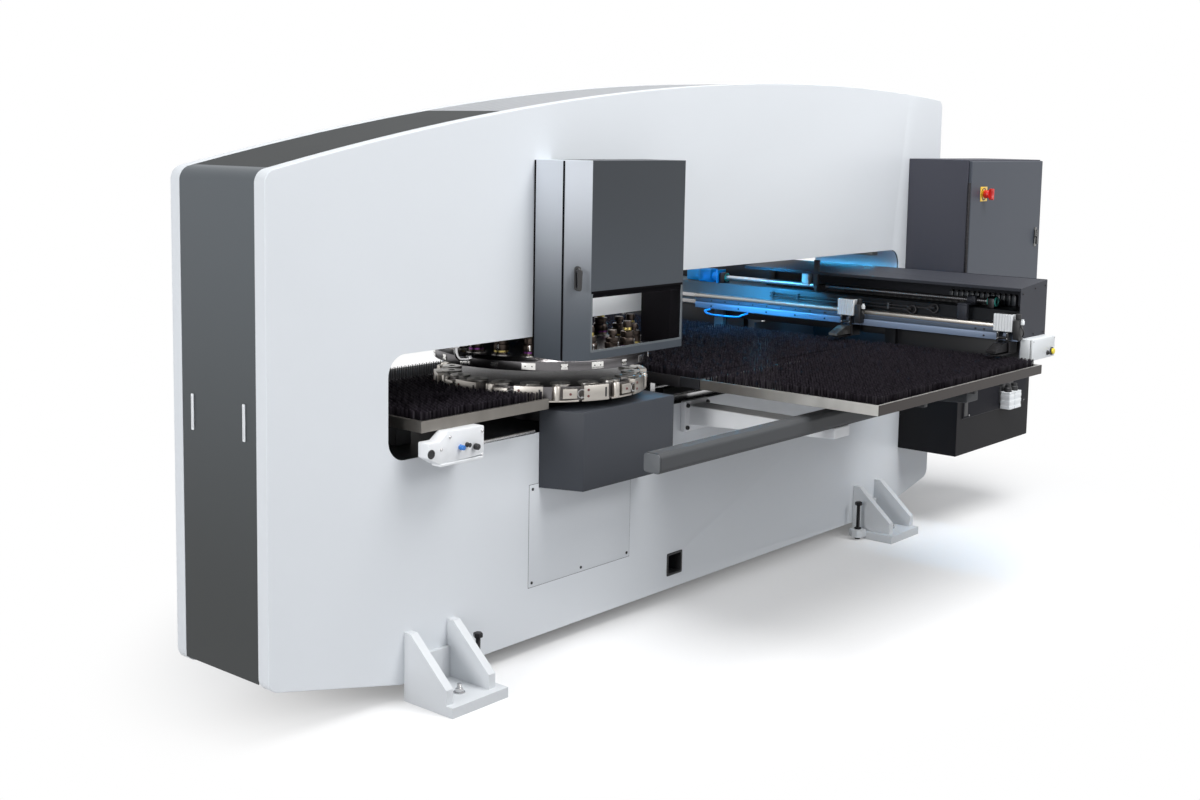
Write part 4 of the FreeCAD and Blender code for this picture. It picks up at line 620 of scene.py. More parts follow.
@dataclass(frozen=True)
class PaintedSheen(Finish):
    """Satin paint with painted light: faces left of an edge pale towards the top in a painted sheen, where they stand
    to the window light.

    Args:
        colour: Linear colour of the paint.
        sheen: Linear colour that it pales to.
        edge: X of the edge.
        low: Height where the paling begins.
        high: Height where it is full.
    """

    colour: Colour
    sheen: Colour
    edge: float
    low: float
    high: float

    def fill(self, graph: ShaderGraph) -> None:
        """The painted sheen grows with the square of the rise; the plain faces darken with it, as painted shade
        towards the top.
        """
        x, _, z = graph.axes()
        rise = z.ramp(self.low, self.high)
        share = (1 - x.ramp(self.edge - 0.004, self.edge)) * rise * rise
        cloud = graph.noise(2.3, 3.0)
        plain = graph.mix(rise, shaded(self.colour, 1.12), shaded(self.colour, 0.55))
        tone = graph.mix(share * (0.9 + 0.1 * cloud), plain, self.sheen)
        graph.set(Base_Color=tone, Roughness=0.34 + 0.08 * cloud, Specular_IOR_Level=0.35)
        graph.bump(graph.noise(420.0, 1.0), 0.12, 0.0004)


@dataclass(frozen=True)
class Metal(Finish):
    """Bare metal with a directional grain.

    Args:
        colour: Linear base colour.
        roughness: Middle roughness.
        grain: Stretch of the grain; the small number lies along it.
        depth: Strength of the grain's relief.
        stain: Depth of darker patches.
    """

    colour: Colour
    roughness: float = 0.32
    grain: Triple = (1.0, 30.0, 30.0)
    depth: float = 0.15
    stain: float = 0.2

    def fill(self, graph: ShaderGraph) -> None:
        """Grain and patches in the colour, grain in the roughness."""
        grain, patch = graph.noise(24.0, 4.0, self.grain), graph.noise(7.0, 3.0)
        tone = graph.mix(patch * 0.6 + grain * 0.4, shaded(self.colour, 1 - self.stain), shaded(self.colour, 1.08))
        graph.set(Base_Color=tone, Metallic=1.0, Roughness=self.roughness - 0.08 + 0.16 * grain)
        graph.bump(grain, self.depth, 0.0006)


@dataclass(frozen=True)
class BandedMetal(Finish):
    """Brushed metal whose tone shifts along Y as painted light, with a face of a third colour beyond an edge.

    Args:
        near: Linear colour at the low end of the shift.
        far: Linear colour at the high end.
        low: Y where the shift begins.
        high: Y where it ends.
        beyond: Linear colour of what lies past the edge.
        edge: Y of the edge; what lies below it takes the third colour.
    """

    near: Colour
    far: Colour
    low: float
    high: float
    beyond: Colour
    edge: float

    def fill(self, graph: ShaderGraph) -> None:
        """The shift, the edge and the upright streaks, one over the other."""
        y = graph.axes()[1]
        grain, streak = graph.noise(24.0, 4.0, (1.0, 1.0, 30.0)), graph.noise(9.0, 2.0, (1.0, 1.0, 0.1))
        tone = graph.mix(y.ramp(self.low, self.high), self.near, self.far)
        tone = graph.mix(y.ramp(self.edge - 0.0005, self.edge), self.beyond, tone)
        tone = graph.mix(streak * 0.5, tone, shaded(self.beyond, 0.8))
        graph.set(Base_Color=tone, Metallic=0.85, Roughness=0.34 - 0.08 + 0.16 * grain)
        graph.bump(grain, 0.12, 0.0005)


@dataclass(frozen=True)
class Casting(Finish):
    """Painted iron casting with a coarse skin.

    Args:
        colour: Linear base colour.
        roughness: Middle roughness.
    """

    colour: Colour
    roughness: float = 0.5

    def fill(self, graph: ShaderGraph) -> None:
        """Broad tones, and a coarse bump."""
        coarse, broad = graph.noise(90.0, 4.0), graph.noise(5.0, 3.0)
        tone = graph.mix(broad, shaded(self.colour, 0.92), shaded(self.colour, 1.05))
        graph.set(Base_Color=tone, Roughness=self.roughness - 0.06 + 0.12 * coarse)
        graph.bump(coarse, 0.35, 0.0012)


@dataclass(frozen=True)
class Moulded(Finish):
    """Plastic or rubber with a fine grain.

    Args:
        colour: Linear base colour.
        roughness: Middle roughness.
        coat: Weight of a glossy skin.
    """

    colour: Colour
    roughness: float = 0.5
    coat: float = 0.0

    def fill(self, graph: ShaderGraph) -> None:
        """Broad tones, and a fine bump."""
        fine, broad = graph.noise(700.0), graph.noise(12.0)
        tone = graph.mix(broad, shaded(self.colour, 0.9), shaded(self.colour, 1.1))
        graph.set(Base_Color=tone, Roughness=self.roughness - 0.04 + 0.08 * fine)
        graph.set(Coat_Weight=self.coat, Coat_Roughness=0.1)
        graph.bump(fine, 0.15, 0.0003)


@dataclass(frozen=True)
class Bristle(Finish):
    """Nylon bristles in painted light: painted shade darkens them at the root, and a painted glint pales them at the
    tip.

    Args:
        root: Height of the bristles' roots.
        tip: Height of their tips.
    """

    root: float
    tip: float

    def fill(self, graph: ShaderGraph) -> None:
        """A ramp up the strands, darker at the root as painted shade, with a paler end as a painted glint."""
        z = graph.axes()[2]
        strand = graph.noise(160.0)
        rise = z.ramp(self.root, self.tip)
        tone = graph.mix(rise * 0.7 + strand * 0.3, (0.004, 0.003, 0.005), (0.012, 0.008, 0.014))
        tone = graph.mix(z.ramp(self.tip - 0.004, self.tip), tone, (0.040, 0.033, 0.045))
        graph.set(Base_Color=tone, Roughness=0.5 + 0.2 * strand, Specular_IOR_Level=0.3)
        graph.bump(strand, 0.3, 0.0008)


@dataclass(frozen=True)
class Glow(Finish):
    """Light strip behind a diffuser.

    Args:
        colour: Linear colour of the light.
        strength: Emission strength.
    """

    colour: Colour
    strength: float

    def fill(self, graph: ShaderGraph) -> None:
        """Emission with faint cells."""
        tone = graph.mix(graph.noise(60.0, 1.0), shaded(self.colour, 0.9), shaded(self.colour, 1.0))
        graph.set(Base_Color=self.colour, Emission_Color=tone, Emission_Strength=self.strength, Roughness=0.4)


UPRIGHT, LENGTHWISE = (30.0, 30.0, 2.0), (1.0, 30.0, 30.0)

FINISHES: dict[str, Finish] = {
    "panel_white": Paint("PanelWhite", srgb(217, 221, 225), 0.38, 0.10, 0.15, 0.015),
    # Trim paint runs darker towards the bottom and paler up high: painted shade low down.
    "trim_dark": PaintedLightRamp("TrimDark", srgb(58, 60, 60), srgb(92, 97, 101), 0.3, 2.1, 0.45),
    "roof_grey": Paint("RoofGrey", srgb(158, 160, 163), 0.55, 0.12, 0.0, 0.03, 0.2),
    "frame_paint": Paint("FramePaint", srgb(34, 36, 40), 0.55, 0.2, 0.0, 0.1),
    "casting_white": Casting("CastingWhite", srgb(208, 211, 214), 0.45),
    "black_steel": Metal("BlackSteel", srgb(62, 61, 63), 0.38, (20.0, 20.0, 1.0), 0.2, 0.4),
    "bright_steel": Metal("BrightSteel", srgb(205, 205, 206), 0.25, LENGTHWISE, 0.1, 0.15),
    "turret_steel": Metal("TurretSteel", srgb(122, 120, 122), 0.3, (8.0, 8.0, 40.0), 0.15, 0.35),
    "punch_black": Metal("PunchBlack", srgb(80, 71, 66), 0.36, UPRIGHT, 0.15, 0.45),
    "plate_bright": Metal("PlateBright", srgb(228, 227, 224), 0.22, (30.0, 30.0, 1.0), 0.05, 0.08),
    # Table rims: a painted highlight, bright at the outboard end and darkening inward, and a dark outer face past the
    # edge.
    "table_edge": BandedMetal("TableEdge", srgb(240, 238, 232), srgb(150, 146, 140), -1.33, -0.55,
                              srgb(56, 50, 48), -1.353),
    "brush_black": Bristle("BrushBlack", 1.03, 1.084),
    "beam_grey": Paint("BeamGrey", srgb(54, 56, 59), 0.55, 0.15, 0.0, 0.04),
    "bridge_dark": Paint("BridgeDark", srgb(50, 52, 59), 0.5, 0.2, 0.0, 0.06, 0.2),
    "clamp_rail": Paint("ClampRail", srgb(140, 156, 182), 0.35, 0.10, 0.1, 0.08, 0.3),
    "clamp_white": Paint("ClampWhite", srgb(236, 239, 241), 0.35, 0.08, 0.15, 0.03),
    "box_white": Paint("BoxWhite", srgb(222, 226, 228), 0.4, 0.1, 0.1, 0.02),
    "button_yellow": Moulded("ButtonYellow", srgb(238, 214, 10), 0.3, 0.4),
    # Cabinet paint near black at the foot and grey from 1.05 m up: painted shade towards the bottom.
    "cabinet_grey": PaintedLightRamp("CabinetGrey", srgb(9, 8, 11), srgb(74, 75, 84), 0.80, 1.05, 0.6),
    "door_grey": Paint("DoorGrey", srgb(66, 71, 80), 0.42, 0.12, 0.05, 0.03, 0.25),
    "switch_yellow": Moulded("SwitchYellow", srgb(240, 196, 40), 0.35, 0.3),
    "switch_red": Moulded("SwitchRed", srgb(205, 30, 20), 0.35, 0.3),
    "panel_black": Paint("PanelBlack", srgb(30, 30, 35), 0.65, 0.2, 0.0, 0.05, 0.1),
    "air_white": Casting("AirWhite", srgb(230, 232, 234), 0.4),
    "knob_black": Moulded("KnobBlack", srgb(34, 34, 36), 0.5),
    "motor_blue": Paint("MotorBlue", srgb(8, 160, 235), 0.4, 0.15, 0.1, 0.08),
}

# Guard paint: a painted sheen on the faces left of the chamfer edge, painted shade towards the top on the others.
GUARD_GREY_PAINTED_LIGHT = PaintedSheen("GuardGrey", srgb(64, 70, 77), srgb(212, 217, 224), along(1.384), 1.10, 1.98)
PEDESTAL_GREY = Paint("PedestalGrey", srgb(62, 65, 71), 0.5, 0.12, 0.0, 0.03, 0.25)
ROOF_DARK = Paint("RoofDark", srgb(54, 56, 57), 0.6, 0.2, 0.0, 0.05, 0.12)
BEAM_DARK = Paint("BeamDark", srgb(24, 25, 29), 0.5, 0.2, 0.0, 0.1)
# Beam paint dark towards the operator and pale blue-grey in the throat: painted light from the throat's lamps.
BEAM_PAINTED_THROAT_LIGHT = PaintedLightRamp("BeamShift", srgb(22, 23, 27), srgb(104, 116, 124), -0.22, -0.02, 0.45, Y)
# Arm paint white up to station 2.9 and dark past 3.0: painted shade on the arm further along.
ARM_WHITE_PAINTED_SHADE = PaintedLightRamp("ArmWhite", srgb(238, 240, 242), srgb(50, 52, 56), along(2.9), along(3.0), 0.42, X)
# Screw steel dark outside the throat and bright inside it: painted light where the throat's lamps fall.
SCREW_STEEL_PAINTED_LIGHT = BandedMetal("OiledSteel", srgb(72, 72, 76), srgb(226, 228, 232), -0.16, -0.08,
                          srgb(170, 170, 172), -1.02)
LINER_WHITE = Paint("LinerWhite", srgb(206, 212, 218), 0.4, 0.1, 0.1, 0.03)
RUBBER = Moulded("Rubber", srgb(22, 20, 24), 0.6)
SCREW_RED = Moulded("ScrewRed", srgb(104, 52, 50), 0.4, 0.2)
SEAM = Moulded("SeamShadow", srgb(96, 98, 100), 0.7)
GLOSS_BLACK = Moulded("GlossBlack", srgb(24, 24, 26), 0.22, 0.5)
EDGE_GREY = Paint("EdgeGrey", srgb(98, 104, 108), 0.4, 0.1, 0.1, 0.02)
CAP_GREY = Moulded("CapGrey", srgb(90, 93, 96), 0.5)
SATIN_STEEL = Metal("SatinSteel", srgb(176, 174, 170), 0.3, (20.0, 20.0, 2.0), 0.1, 0.15)
GROUND_STEEL = Metal("GroundSteel", srgb(198, 193, 186), 0.4, UPRIGHT, 0.08, 0.25)
RING_VIOLET = Metal("RingViolet", srgb(110, 62, 118), 0.32, (10.0, 10.0, 1.0), 0.1, 0.2)
RING_GOLD = Metal("RingGold", srgb(178, 162, 100), 0.32, (10.0, 10.0, 1.0), 0.1, 0.2)
BOARD_BLACK = Moulded("BoardBlack", srgb(20, 18, 22), 0.6)
COVER_GREEN = Moulded("CoverGreen", srgb(58, 150, 140), 0.4, 0.2)
CABLE_BLACK = Moulded("CableBlack", srgb(30, 30, 34), 0.45)
VALVE_GREY = Moulded("ValveGrey", srgb(62, 66, 72), 0.4)
GROOVE_GREY = Paint("GrooveGrey", srgb(84, 96, 112), 0.45, 0.15, 0.05, 0.08, 0.3)
FITTING_BLUE = Moulded("FittingBlue", srgb(30, 110, 190), 0.3, 0.3)
# Near-black for the guard's dark joint and for sheets of painted shade.
JOINT_AND_SHADE_BLACK = Paint("SealBlack", srgb(14, 13, 16), 0.85, 0.2, 0.0, 0.05, 0.05)
WHITE_GLOW = Glow("WhiteGlow", (1.0, 0.98, 0.95), 52.0)
BLUE_GLOW = Glow("BlueGlow", (0.05, 0.50, 1.0), 100.0)


class Workshop:
    """Keeps the materials and turns shapes into pieces that ride on the frame."""

    def __init__(self, frame: dict) -> None:
        """Remember the frame and which slot and body each CAD node has."""
        self.nodes: dict[str, bpy.types.Object] = frame["nodes"]
        record = frame["record"]
        self.slots: dict[str, str] = {part["node"]: part["material_slot"] for part in record["subparts"]}
        bodies = record["behaviour"]["bodies"]
        self.body_of: dict[str, str] = {node: body for body, members in bodies.items() for node in members}
        self.materials: dict[str, bpy.types.Material] = {}

    def material(self, slot: str, finish: Finish | None = None) -> bpy.types.Material:
        """The material of a slot, or of a finish of its own, made once."""
        finish = finish or FINISHES[slot]
        if finish.name not in self.materials:
            self.materials[finish.name] = finish.build()
        return self.materials[finish.name]

    def dress_nodes(self) -> None:
        """Give every CAD node its slot's finish."""
        for name, node in self.nodes.items():
            node.data.materials.clear()
            node.data.materials.append(self.material(self.slots[name]))

    def piece(self, name: str, shape: Shape, body: str, slot: str, finish: Finish | None = None,
              replaces: Sequence[str] = (), smooth: float = 40.0) -> None:
        """Put a shape into the scene as one piece.

        Args:
            name: Piece name.
            shape: Its surface, in the row frame.
            body: CAD body that it rides on.
            slot: Record's material slot.
            finish: Finish, where it isn't the slot's own.
            replaces: CAD nodes that it stands for.
            smooth: Angle in degrees above which an edge stays sharp.
        """
        mesh = bpy.data.meshes.new(name)
        mesh.from_pydata(shape.points.tolist(), [], shape.quads.tolist() + shape.caps)
        mesh.validate()
        self.place(name, mesh, body, slot, finish, replaces, smooth)

    def place(self, name: str, mesh: bpy.types.Mesh, body: str, slot: str, finish: Finish | None,
              replaces: Sequence[str], smooth: float) -> bpy.types.Object:
        """Link a finished mesh and tie it to its body."""
        mesh.shade_smooth()
        mesh.set_sharp_from_angle(angle=math.radians(smooth))
        mesh.materials.append(self.material(slot, finish))
        item = bpy.data.objects.new(name, mesh)
        bpy.context.scene.collection.objects.link(item)
        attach(item, body)
        if replaces:
            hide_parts(*replaces)
        LOG.info("piece %s: %d points on %s", name, len(mesh.vertices), body)
        return item

    def softened(self, node: str, width: float, steps: int = 2, finish: Finish | None = None,
                 weigh: Callable[[np.ndarray], np.ndarray] | None = None) -> None:
        """Stand a copy of a CAD node in for it, with its edges rounded.

        Args:
            node: CAD node whose shape is right apart from its sharp edges.
            width: Width of the rounding.
            steps: Faces across the rounding.
            finish: Finish, where it isn't the slot's own.
            weigh: Share of the width at each edge, from the array of edge middles; all edges alike if None.
        """
        sharp = 32.0
        mesh = self.nodes[node].data.copy()
        work = bmesh.new()
        work.from_mesh(mesh)
        bmesh.ops.remove_doubles(work, verts=work.verts, dist=2e-5)
        bmesh.ops.dissolve_limit(work, angle_limit=math.radians(0.6), verts=work.verts, edges=work.edges)
        work.to_mesh(mesh)
        work.free()
        mesh.materials.clear()
        item = self.place(node + ".finished", mesh, self.body_of[node], self.slots[node], finish, [node], sharp)
        bevel = item.modifiers.new("Edges", "BEVEL")
        bevel.width = width
        bevel.segments = steps
        bevel.limit_method = "ANGLE"
        bevel.angle_limit = math.radians(sharp)
        bevel.harden_normals = True
        if weigh is not None:
            points = np.zeros(len(mesh.vertices) * 3)
            mesh.vertices.foreach_get("co", points)
            ends = np.zeros(len(mesh.edges) * 2, int)
            mesh.edges.foreach_get("vertices", ends)
            middles = points.reshape(-1, 3)[ends.reshape(-1, 2)].mean(1)
            share = mesh.attributes.new("bevel_weight_edge", "FLOAT", "EDGE")
            share.data.foreach_set("value", weigh(middles).astype(np.float32))
            bevel.limit_method = "WEIGHT"


# ------------------------------------------------------------------ studio

@dataclass
class Studio:
    """Camera fitted to the photograph, pale floor and plain soft light.

    Args:
        position: Camera position in the row frame.
        yaw: Heading, from +Y towards +X.
        pitch: Tilt above the horizon.
        roll: Turn about the view axis.
        focal: Focal length in pixels for a 1200 x 800 frame.
        centre: Offset of the optical centre from the frame's middle in pixels, right and down.
        frame_width: Width of that frame in pixels.
        sensor: Width of the sensor in millimetres.
        reach: Half of the floor's side.
    """

    position: Triple = (-5.3414, -4.2034, 2.0884)
    yaw: float = 0.8744
    pitch: float = -0.1158
    roll: float = 0.0179
    focal: float = 1491.26
    centre: Pair = (2.47, -91.53)
    frame_width: int = 1200
    sensor: float = 36.0
    reach: float = 40.0

    def camera(self) -> None:
        """Camera at the photograph's place and angle."""
        data = bpy.data.cameras.new("Camera")
        data.sensor_width = self.sensor
        data.lens = self.focal / self.frame_width * self.sensor
        data.shift_x = -self.centre[0] / self.frame_width
        data.shift_y = self.centre[1] / self.frame_width
        data.clip_end = 200.0
        item = bpy.data.objects.new("Camera", data)
        forward = Vector((math.sin(self.yaw) * math.cos(self.pitch), math.cos(self.yaw) * math.cos(self.pitch),
                          math.sin(self.pitch)))
        right = Vector((math.cos(self.yaw), -math.sin(self.yaw), 0.0))
        upward = right.cross(forward)
        turned_right = right * math.cos(self.roll) + upward * math.sin(self.roll)
        turned_up = upward * math.cos(self.roll) - right * math.sin(self.roll)
        basis = Matrix((turned_right, turned_up, -forward)).transposed().to_4x4()
        item.matrix_world = Matrix.Translation(self.position) @ basis
        bpy.context.scene.collection.objects.link(item)
        bpy.context.scene.camera = item

    def floor(self) -> None:
        """Pale floor that keeps the shadow near the machine and fades to white further out."""
        mesh = bpy.data.meshes.new("Floor")
        corners = rectangle((-self.reach, -self.reach), (self.reach, self.reach))
        mesh.from_pydata([(x, y, 0.0) for x, y in corners], [], [(0, 1, 2, 3)])
        item = bpy.data.objects.new("Floor", mesh)
        bpy.context.scene.collection.objects.link(item)
        graph = ShaderGraph("FloorPale")
        x, y, _ = graph.axes()
        far = graph.math("SQRT", (x - 0.7) * (x - 0.7) * 0.36 + y * y, 0.0).ramp(1.25, 2.05)
        path = graph.node("ShaderNodeLightPath")
        camera, glossy = (Socket(graph, path.outputs[kind]) for kind in ("Is Camera Ray", "Is Glossy Ray"))
        tone = graph.mix(camera, (0.42, 0.42, 0.43), (0.92, 0.92, 0.92))
        graph.set(Base_Color=tone, Roughness=0.75, Specular_IOR_Level=0.1)
        white = graph.node("ShaderNodeEmission", None, {"Color": (1, 1, 1, 1), "Strength": 1.0})
        share = graph.math("MAXIMUM", camera, glossy) * (0.15 + 0.85 * far)
        mixed = graph.node("ShaderNodeMixShader", None, {0: share, 1: graph.shader.outputs[0], 2: white.outputs[0]})
        out = next(node for node in graph.tree.nodes if node.type == "OUTPUT_MATERIAL")
        graph.feed(out.inputs[0], mixed.outputs[0])
        mesh.materials.append(graph.material)

    def world(self) -> None:
        """White surroundings for the eye and for reflections, and a softer grey for light."""
        world = bpy.data.worlds.new("Surroundings")
        world.use_nodes = True
        bpy.context.scene.world = world
        tree = world.node_tree
        path = tree.nodes.new("ShaderNodeLightPath")
        both = path.outputs["Is Camera Ray"]
        for kind in ("Is Glossy Ray", "Is Transmission Ray"):
            either = tree.nodes.new("ShaderNodeMath")
            either.operation = "MAXIMUM"
            tree.links.new(both, either.inputs[0])
            tree.links.new(path.outputs[kind], either.inputs[1])
            both = either.outputs[0]
        mixed = tree.nodes.new("ShaderNodeMixShader")
        tree.links.new(both, mixed.inputs[0])
        plain, white = tree.nodes["Background"], tree.nodes.new("ShaderNodeBackground")
        for entry, node, colour, strength in ((1, plain, (0.92, 0.95, 1.0, 1.0), 0.36),
                                              (2, white, (1.0, 1.0, 1.0, 1.0), 1.0)):
            node.inputs["Color"].default_value = colour
            node.inputs["Strength"].default_value = strength
            tree.links.new(node.outputs[0], mixed.inputs[entry])
        tree.links.new(mixed.outputs[0], tree.nodes["World Output"].inputs[0])

    def lamp(self, name: str, place: Triple, aim: Triple, size: float, power: float) -> None:
        """Large soft lamp that faces a point."""
        data = bpy.data.lights.new(name, "AREA")
        data.shape = "DISK"
        data.size = size
        data.energy = power
        item = bpy.data.objects.new(name, data)
        item.location = place
        item.rotation_mode = "QUATERNION"
        item.rotation_quaternion = (Vector(aim) - Vector(place)).to_track_quat("-Z", "Y")
        bpy.context.scene.collection.objects.link(item)

    def build(self) -> None:
        """Camera, floor, surroundings and lamps."""
        self.camera()
        self.floor()
        self.world()
        self.lamp("Key", (2.0, -13.0, 9.0), (0.3, -0.3, 1.0), 7.0, 700.0)
        self.lamp("Top", (0.9, -3.2, 8.5), (0.3, 0.0, 1.0), 6.0, 600.0)
        self.lamp("Left", (-9.5, -1.2, 3.0), (-1.0, -0.2, 1.2), 3.0, 350.0)
        bpy.context.scene.view_settings.view_transform = "Standard"


# ------------------------------------------------------------------ sub-assemblies

@dataclass
class Assembly:
    """One sub-assembly. Subclasses hold their sizes and build their pieces."""

    shop: Workshop

    def build(self) -> None:
        """Build every piece of the sub-assembly."""
        raise NotImplementedError

    def add(self, name: str, shape: Shape, body: str, slot: str, finish: Finish | None = None) -> None:
        """Put in a piece that the CAD model doesn't have."""
        self.shop.piece(name, shape, body, slot, finish)

    def swap(self, name: str, shape: Shape, node: str, finish: Finish | None = None) -> None:
        """Put in a piece that stands for a CAD node, on its body and with its slot."""
        self.shop.piece(name, shape, self.shop.body_of[node], self.shop.slots[node], finish, [node])


@dataclass
class Casing(Assembly):
    """Side panels, roof, end covers, service hatch and cable inlet.

    Args:
        half_width: Half of the frame's thickness.
        arch_radius: Radius of the roof's arch.
        arch_top: Height of its crown.
        arch_station: Station of its crown.
        roof_half: Half width of the roof between the panels.
        roof_run: Stations where the light roof sheet starts and ends.
        openings: Throat and cable inlet as low and high station and low and high Z, a little larger than they are.
    """

    half_width: float = 0.263
    arch_radius: float = 15.4
    arch_top: float = 2.352
    arch_station: float = 3.493
    roof_half: float = 0.2077
    roof_run: Pair = (1.160, 4.574)
    openings: tuple[tuple[float, ...], ...] = ((0.52, 4.22, 0.89, 1.52), (2.19, 2.31, 0.12, 0.23))

    def build(self) -> None:
        """Round the folds of the panels and dress what is fixed to them."""
        for node in ("front_side_panel", "rear_side_panel"):
            self.shop.softened(node, 0.009, 4, weigh=self.fold_share)
        self.shop.softened("end_covers", 0.0012)
        self.shop.softened("roof_cover_front", 0.0012, finish=ROOF_DARK)
        self.shop.softened("frame_weldment", 0.004)
        self.roof()
        self.grips()
        self.hatch()

    def fold_share(self, middles: np.ndarray) -> np.ndarray:
        """Full rounding on the outer rim of a panel's face, and little on its punched edges."""
        x, y, z = middles.T
        rim = np.abs(np.abs(y) - self.half_width) < 1e-4
        station = x + LEFT_REACH
        for left, right, low, high in self.openings:
            rim &= ~((station > left) & (station < right) & (z > low) & (z < high))
        return np.where(rim, 1.0, 0.1)

    def roof(self) -> None:
        """Light roof sheet: a section with low lengthwise ribs, carried along the arch.

        The height of the arch is z = top - R + sqrt((R - inset)^2 - (s - s0)^2).
        """
        inset, skin, rib_height, rib_pitch = 0.001, 0.003, 0.0035, 0.052
        across = np.linspace(-self.roof_half, self.roof_half, 121)
        rib = 0.5 + 0.5 * np.tanh(6 * (np.cos(2 * np.pi * across / rib_pitch) - 0.55))
        drop = np.where(np.abs(across) < self.roof_half - 0.02, -rib_height * (1 - rib), 0.0)
        section = np.vstack([np.stack([across, drop - skin], 1), np.stack([across, drop], 1)[::-1]])
        stations = np.linspace(*self.roof_run, 60)[:, None]
        reach = (self.arch_radius - inset) ** 2 - (stations - self.arch_station) ** 2
        height = self.arch_top - self.arch_radius + np.sqrt(reach) + section[:, 1]
        points = np.stack(np.broadcast_arrays(along(stations), section[:, 0], height), 2)
        self.swap("roof_ribbed", solid(points), "roof_cover_rear")

    def grips(self) -> None:
        """Bright pull strips on the turret-end cover, each a rounded bar with an inlay."""
        sides = (-0.152, -0.138), (0.138, 0.152)
        bars = slabs(0.0024, Z, *((-0.005, low, 1.047, 0.0005, high, 1.175) for low, high in sides))
        self.swap("grip_bars", bars, "end_cover_grips")
        inlays = slabs(0.0003, Z, *((-0.0052, low + 0.004, 1.056, -0.0045, high - 0.004, 1.166)
                                    for low, high in sides))
        self.add("grip_inlays", inlays, "frame", "casting_white")

    def hatch(self) -> None:
        """Service hatch with its shadow seam and screws, and the rim of the cable inlet."""
        face, seam, inset = -self.half_width, 0.0022, 0.018
        left, right, low, high = 1.280, 1.920, 0.278, 0.698
        door = plate(rectangle((left, low), (right, high)), 0.006, face - 0.0014, face + 0.0006, 0.0005)
        self.swap("hatch_door", door, "access_hatch")
        bars = [(left - seam, low - seam, right + seam, low), (left - seam, high, right + seam, high + seam),
                (left - seam, low, left, high), (right, low, right + seam, high)]
        strips = slabs(0.0002, Z, *((a, face - 0.0004, b, c, face + 0.0006, d) for a, b, c, d in bars))
        self.add("hatch_seam", strips, "frame", "brush_black", SEAM)
        places = [(station, face - 0.0010, z) for z in (low + inset, high - inset)
                  for station in (left + inset, 1.60, right - inset)]
        self.add("hatch_screws", screws(0.0062, 0.003, places), "frame", "knob_black")
        rim = frame_strip((2.194, 0.124), (2.306, 0.228), 0.010, face - 0.003, face + 0.03)
        self.add("cable_inlet_rim", rim, "frame", "knob_black")


@dataclass
class Feet(Assembly):
    """Cast feet with their anchor bolts and levelling screws.

    Args:
        anchor: X and Y of the anchor holes.
        jack: X and Y of the levelling screws.
        plate_top: Height of the base plates.
    """

    anchor: Pair = (1.603, 0.423)
    jack: Pair = (1.415, 0.332)
    plate_top: float = 0.040

    def build(self) -> None:
        """Round the castings and add threaded screws and anchor bolts."""
        self.shop.softened("feet", 0.0045, 3)
        screw = joined([
            threaded_rod(0.0097, 0.0014, 0.0035, 0.18, 16).moved(z=0.0012),
            lathe([(0.012, 0.0003), (0.014, 0.001), (0.014, 0.005), (0.009, 0.008)], 20),
            column(even_polygon(0.0188, 6), [(0.002, 0.1805), (0.0, 0.183), (0.0, 0.1965), (0.003, 0.1995)]),
            column(even_polygon(0.0186, 6), [(0.002, 0.0534), (0.0, 0.0552), (0.0, 0.061), (0.002, 0.0627)])])
        x, y = self.jack
        self.swap("levelling_bolts", screw.repeated([(-x, -y, 0), (x, -y, 0), (-x, y, 0), (x, y, 0)]),
                  "levelling_screws")
        x, y = self.anchor
        bolt = joined([hexagon_bolt(0.0165, 0.016), threaded_rod(0.0095, 0.0012, 0.003, 0.034, 14)])
        anchors = bolt.repeated([(px, py, self.plate_top) for px in (-x, x) for py in (-y, y)])
        self.add("anchor_bolts", anchors, "frame", "bright_steel")


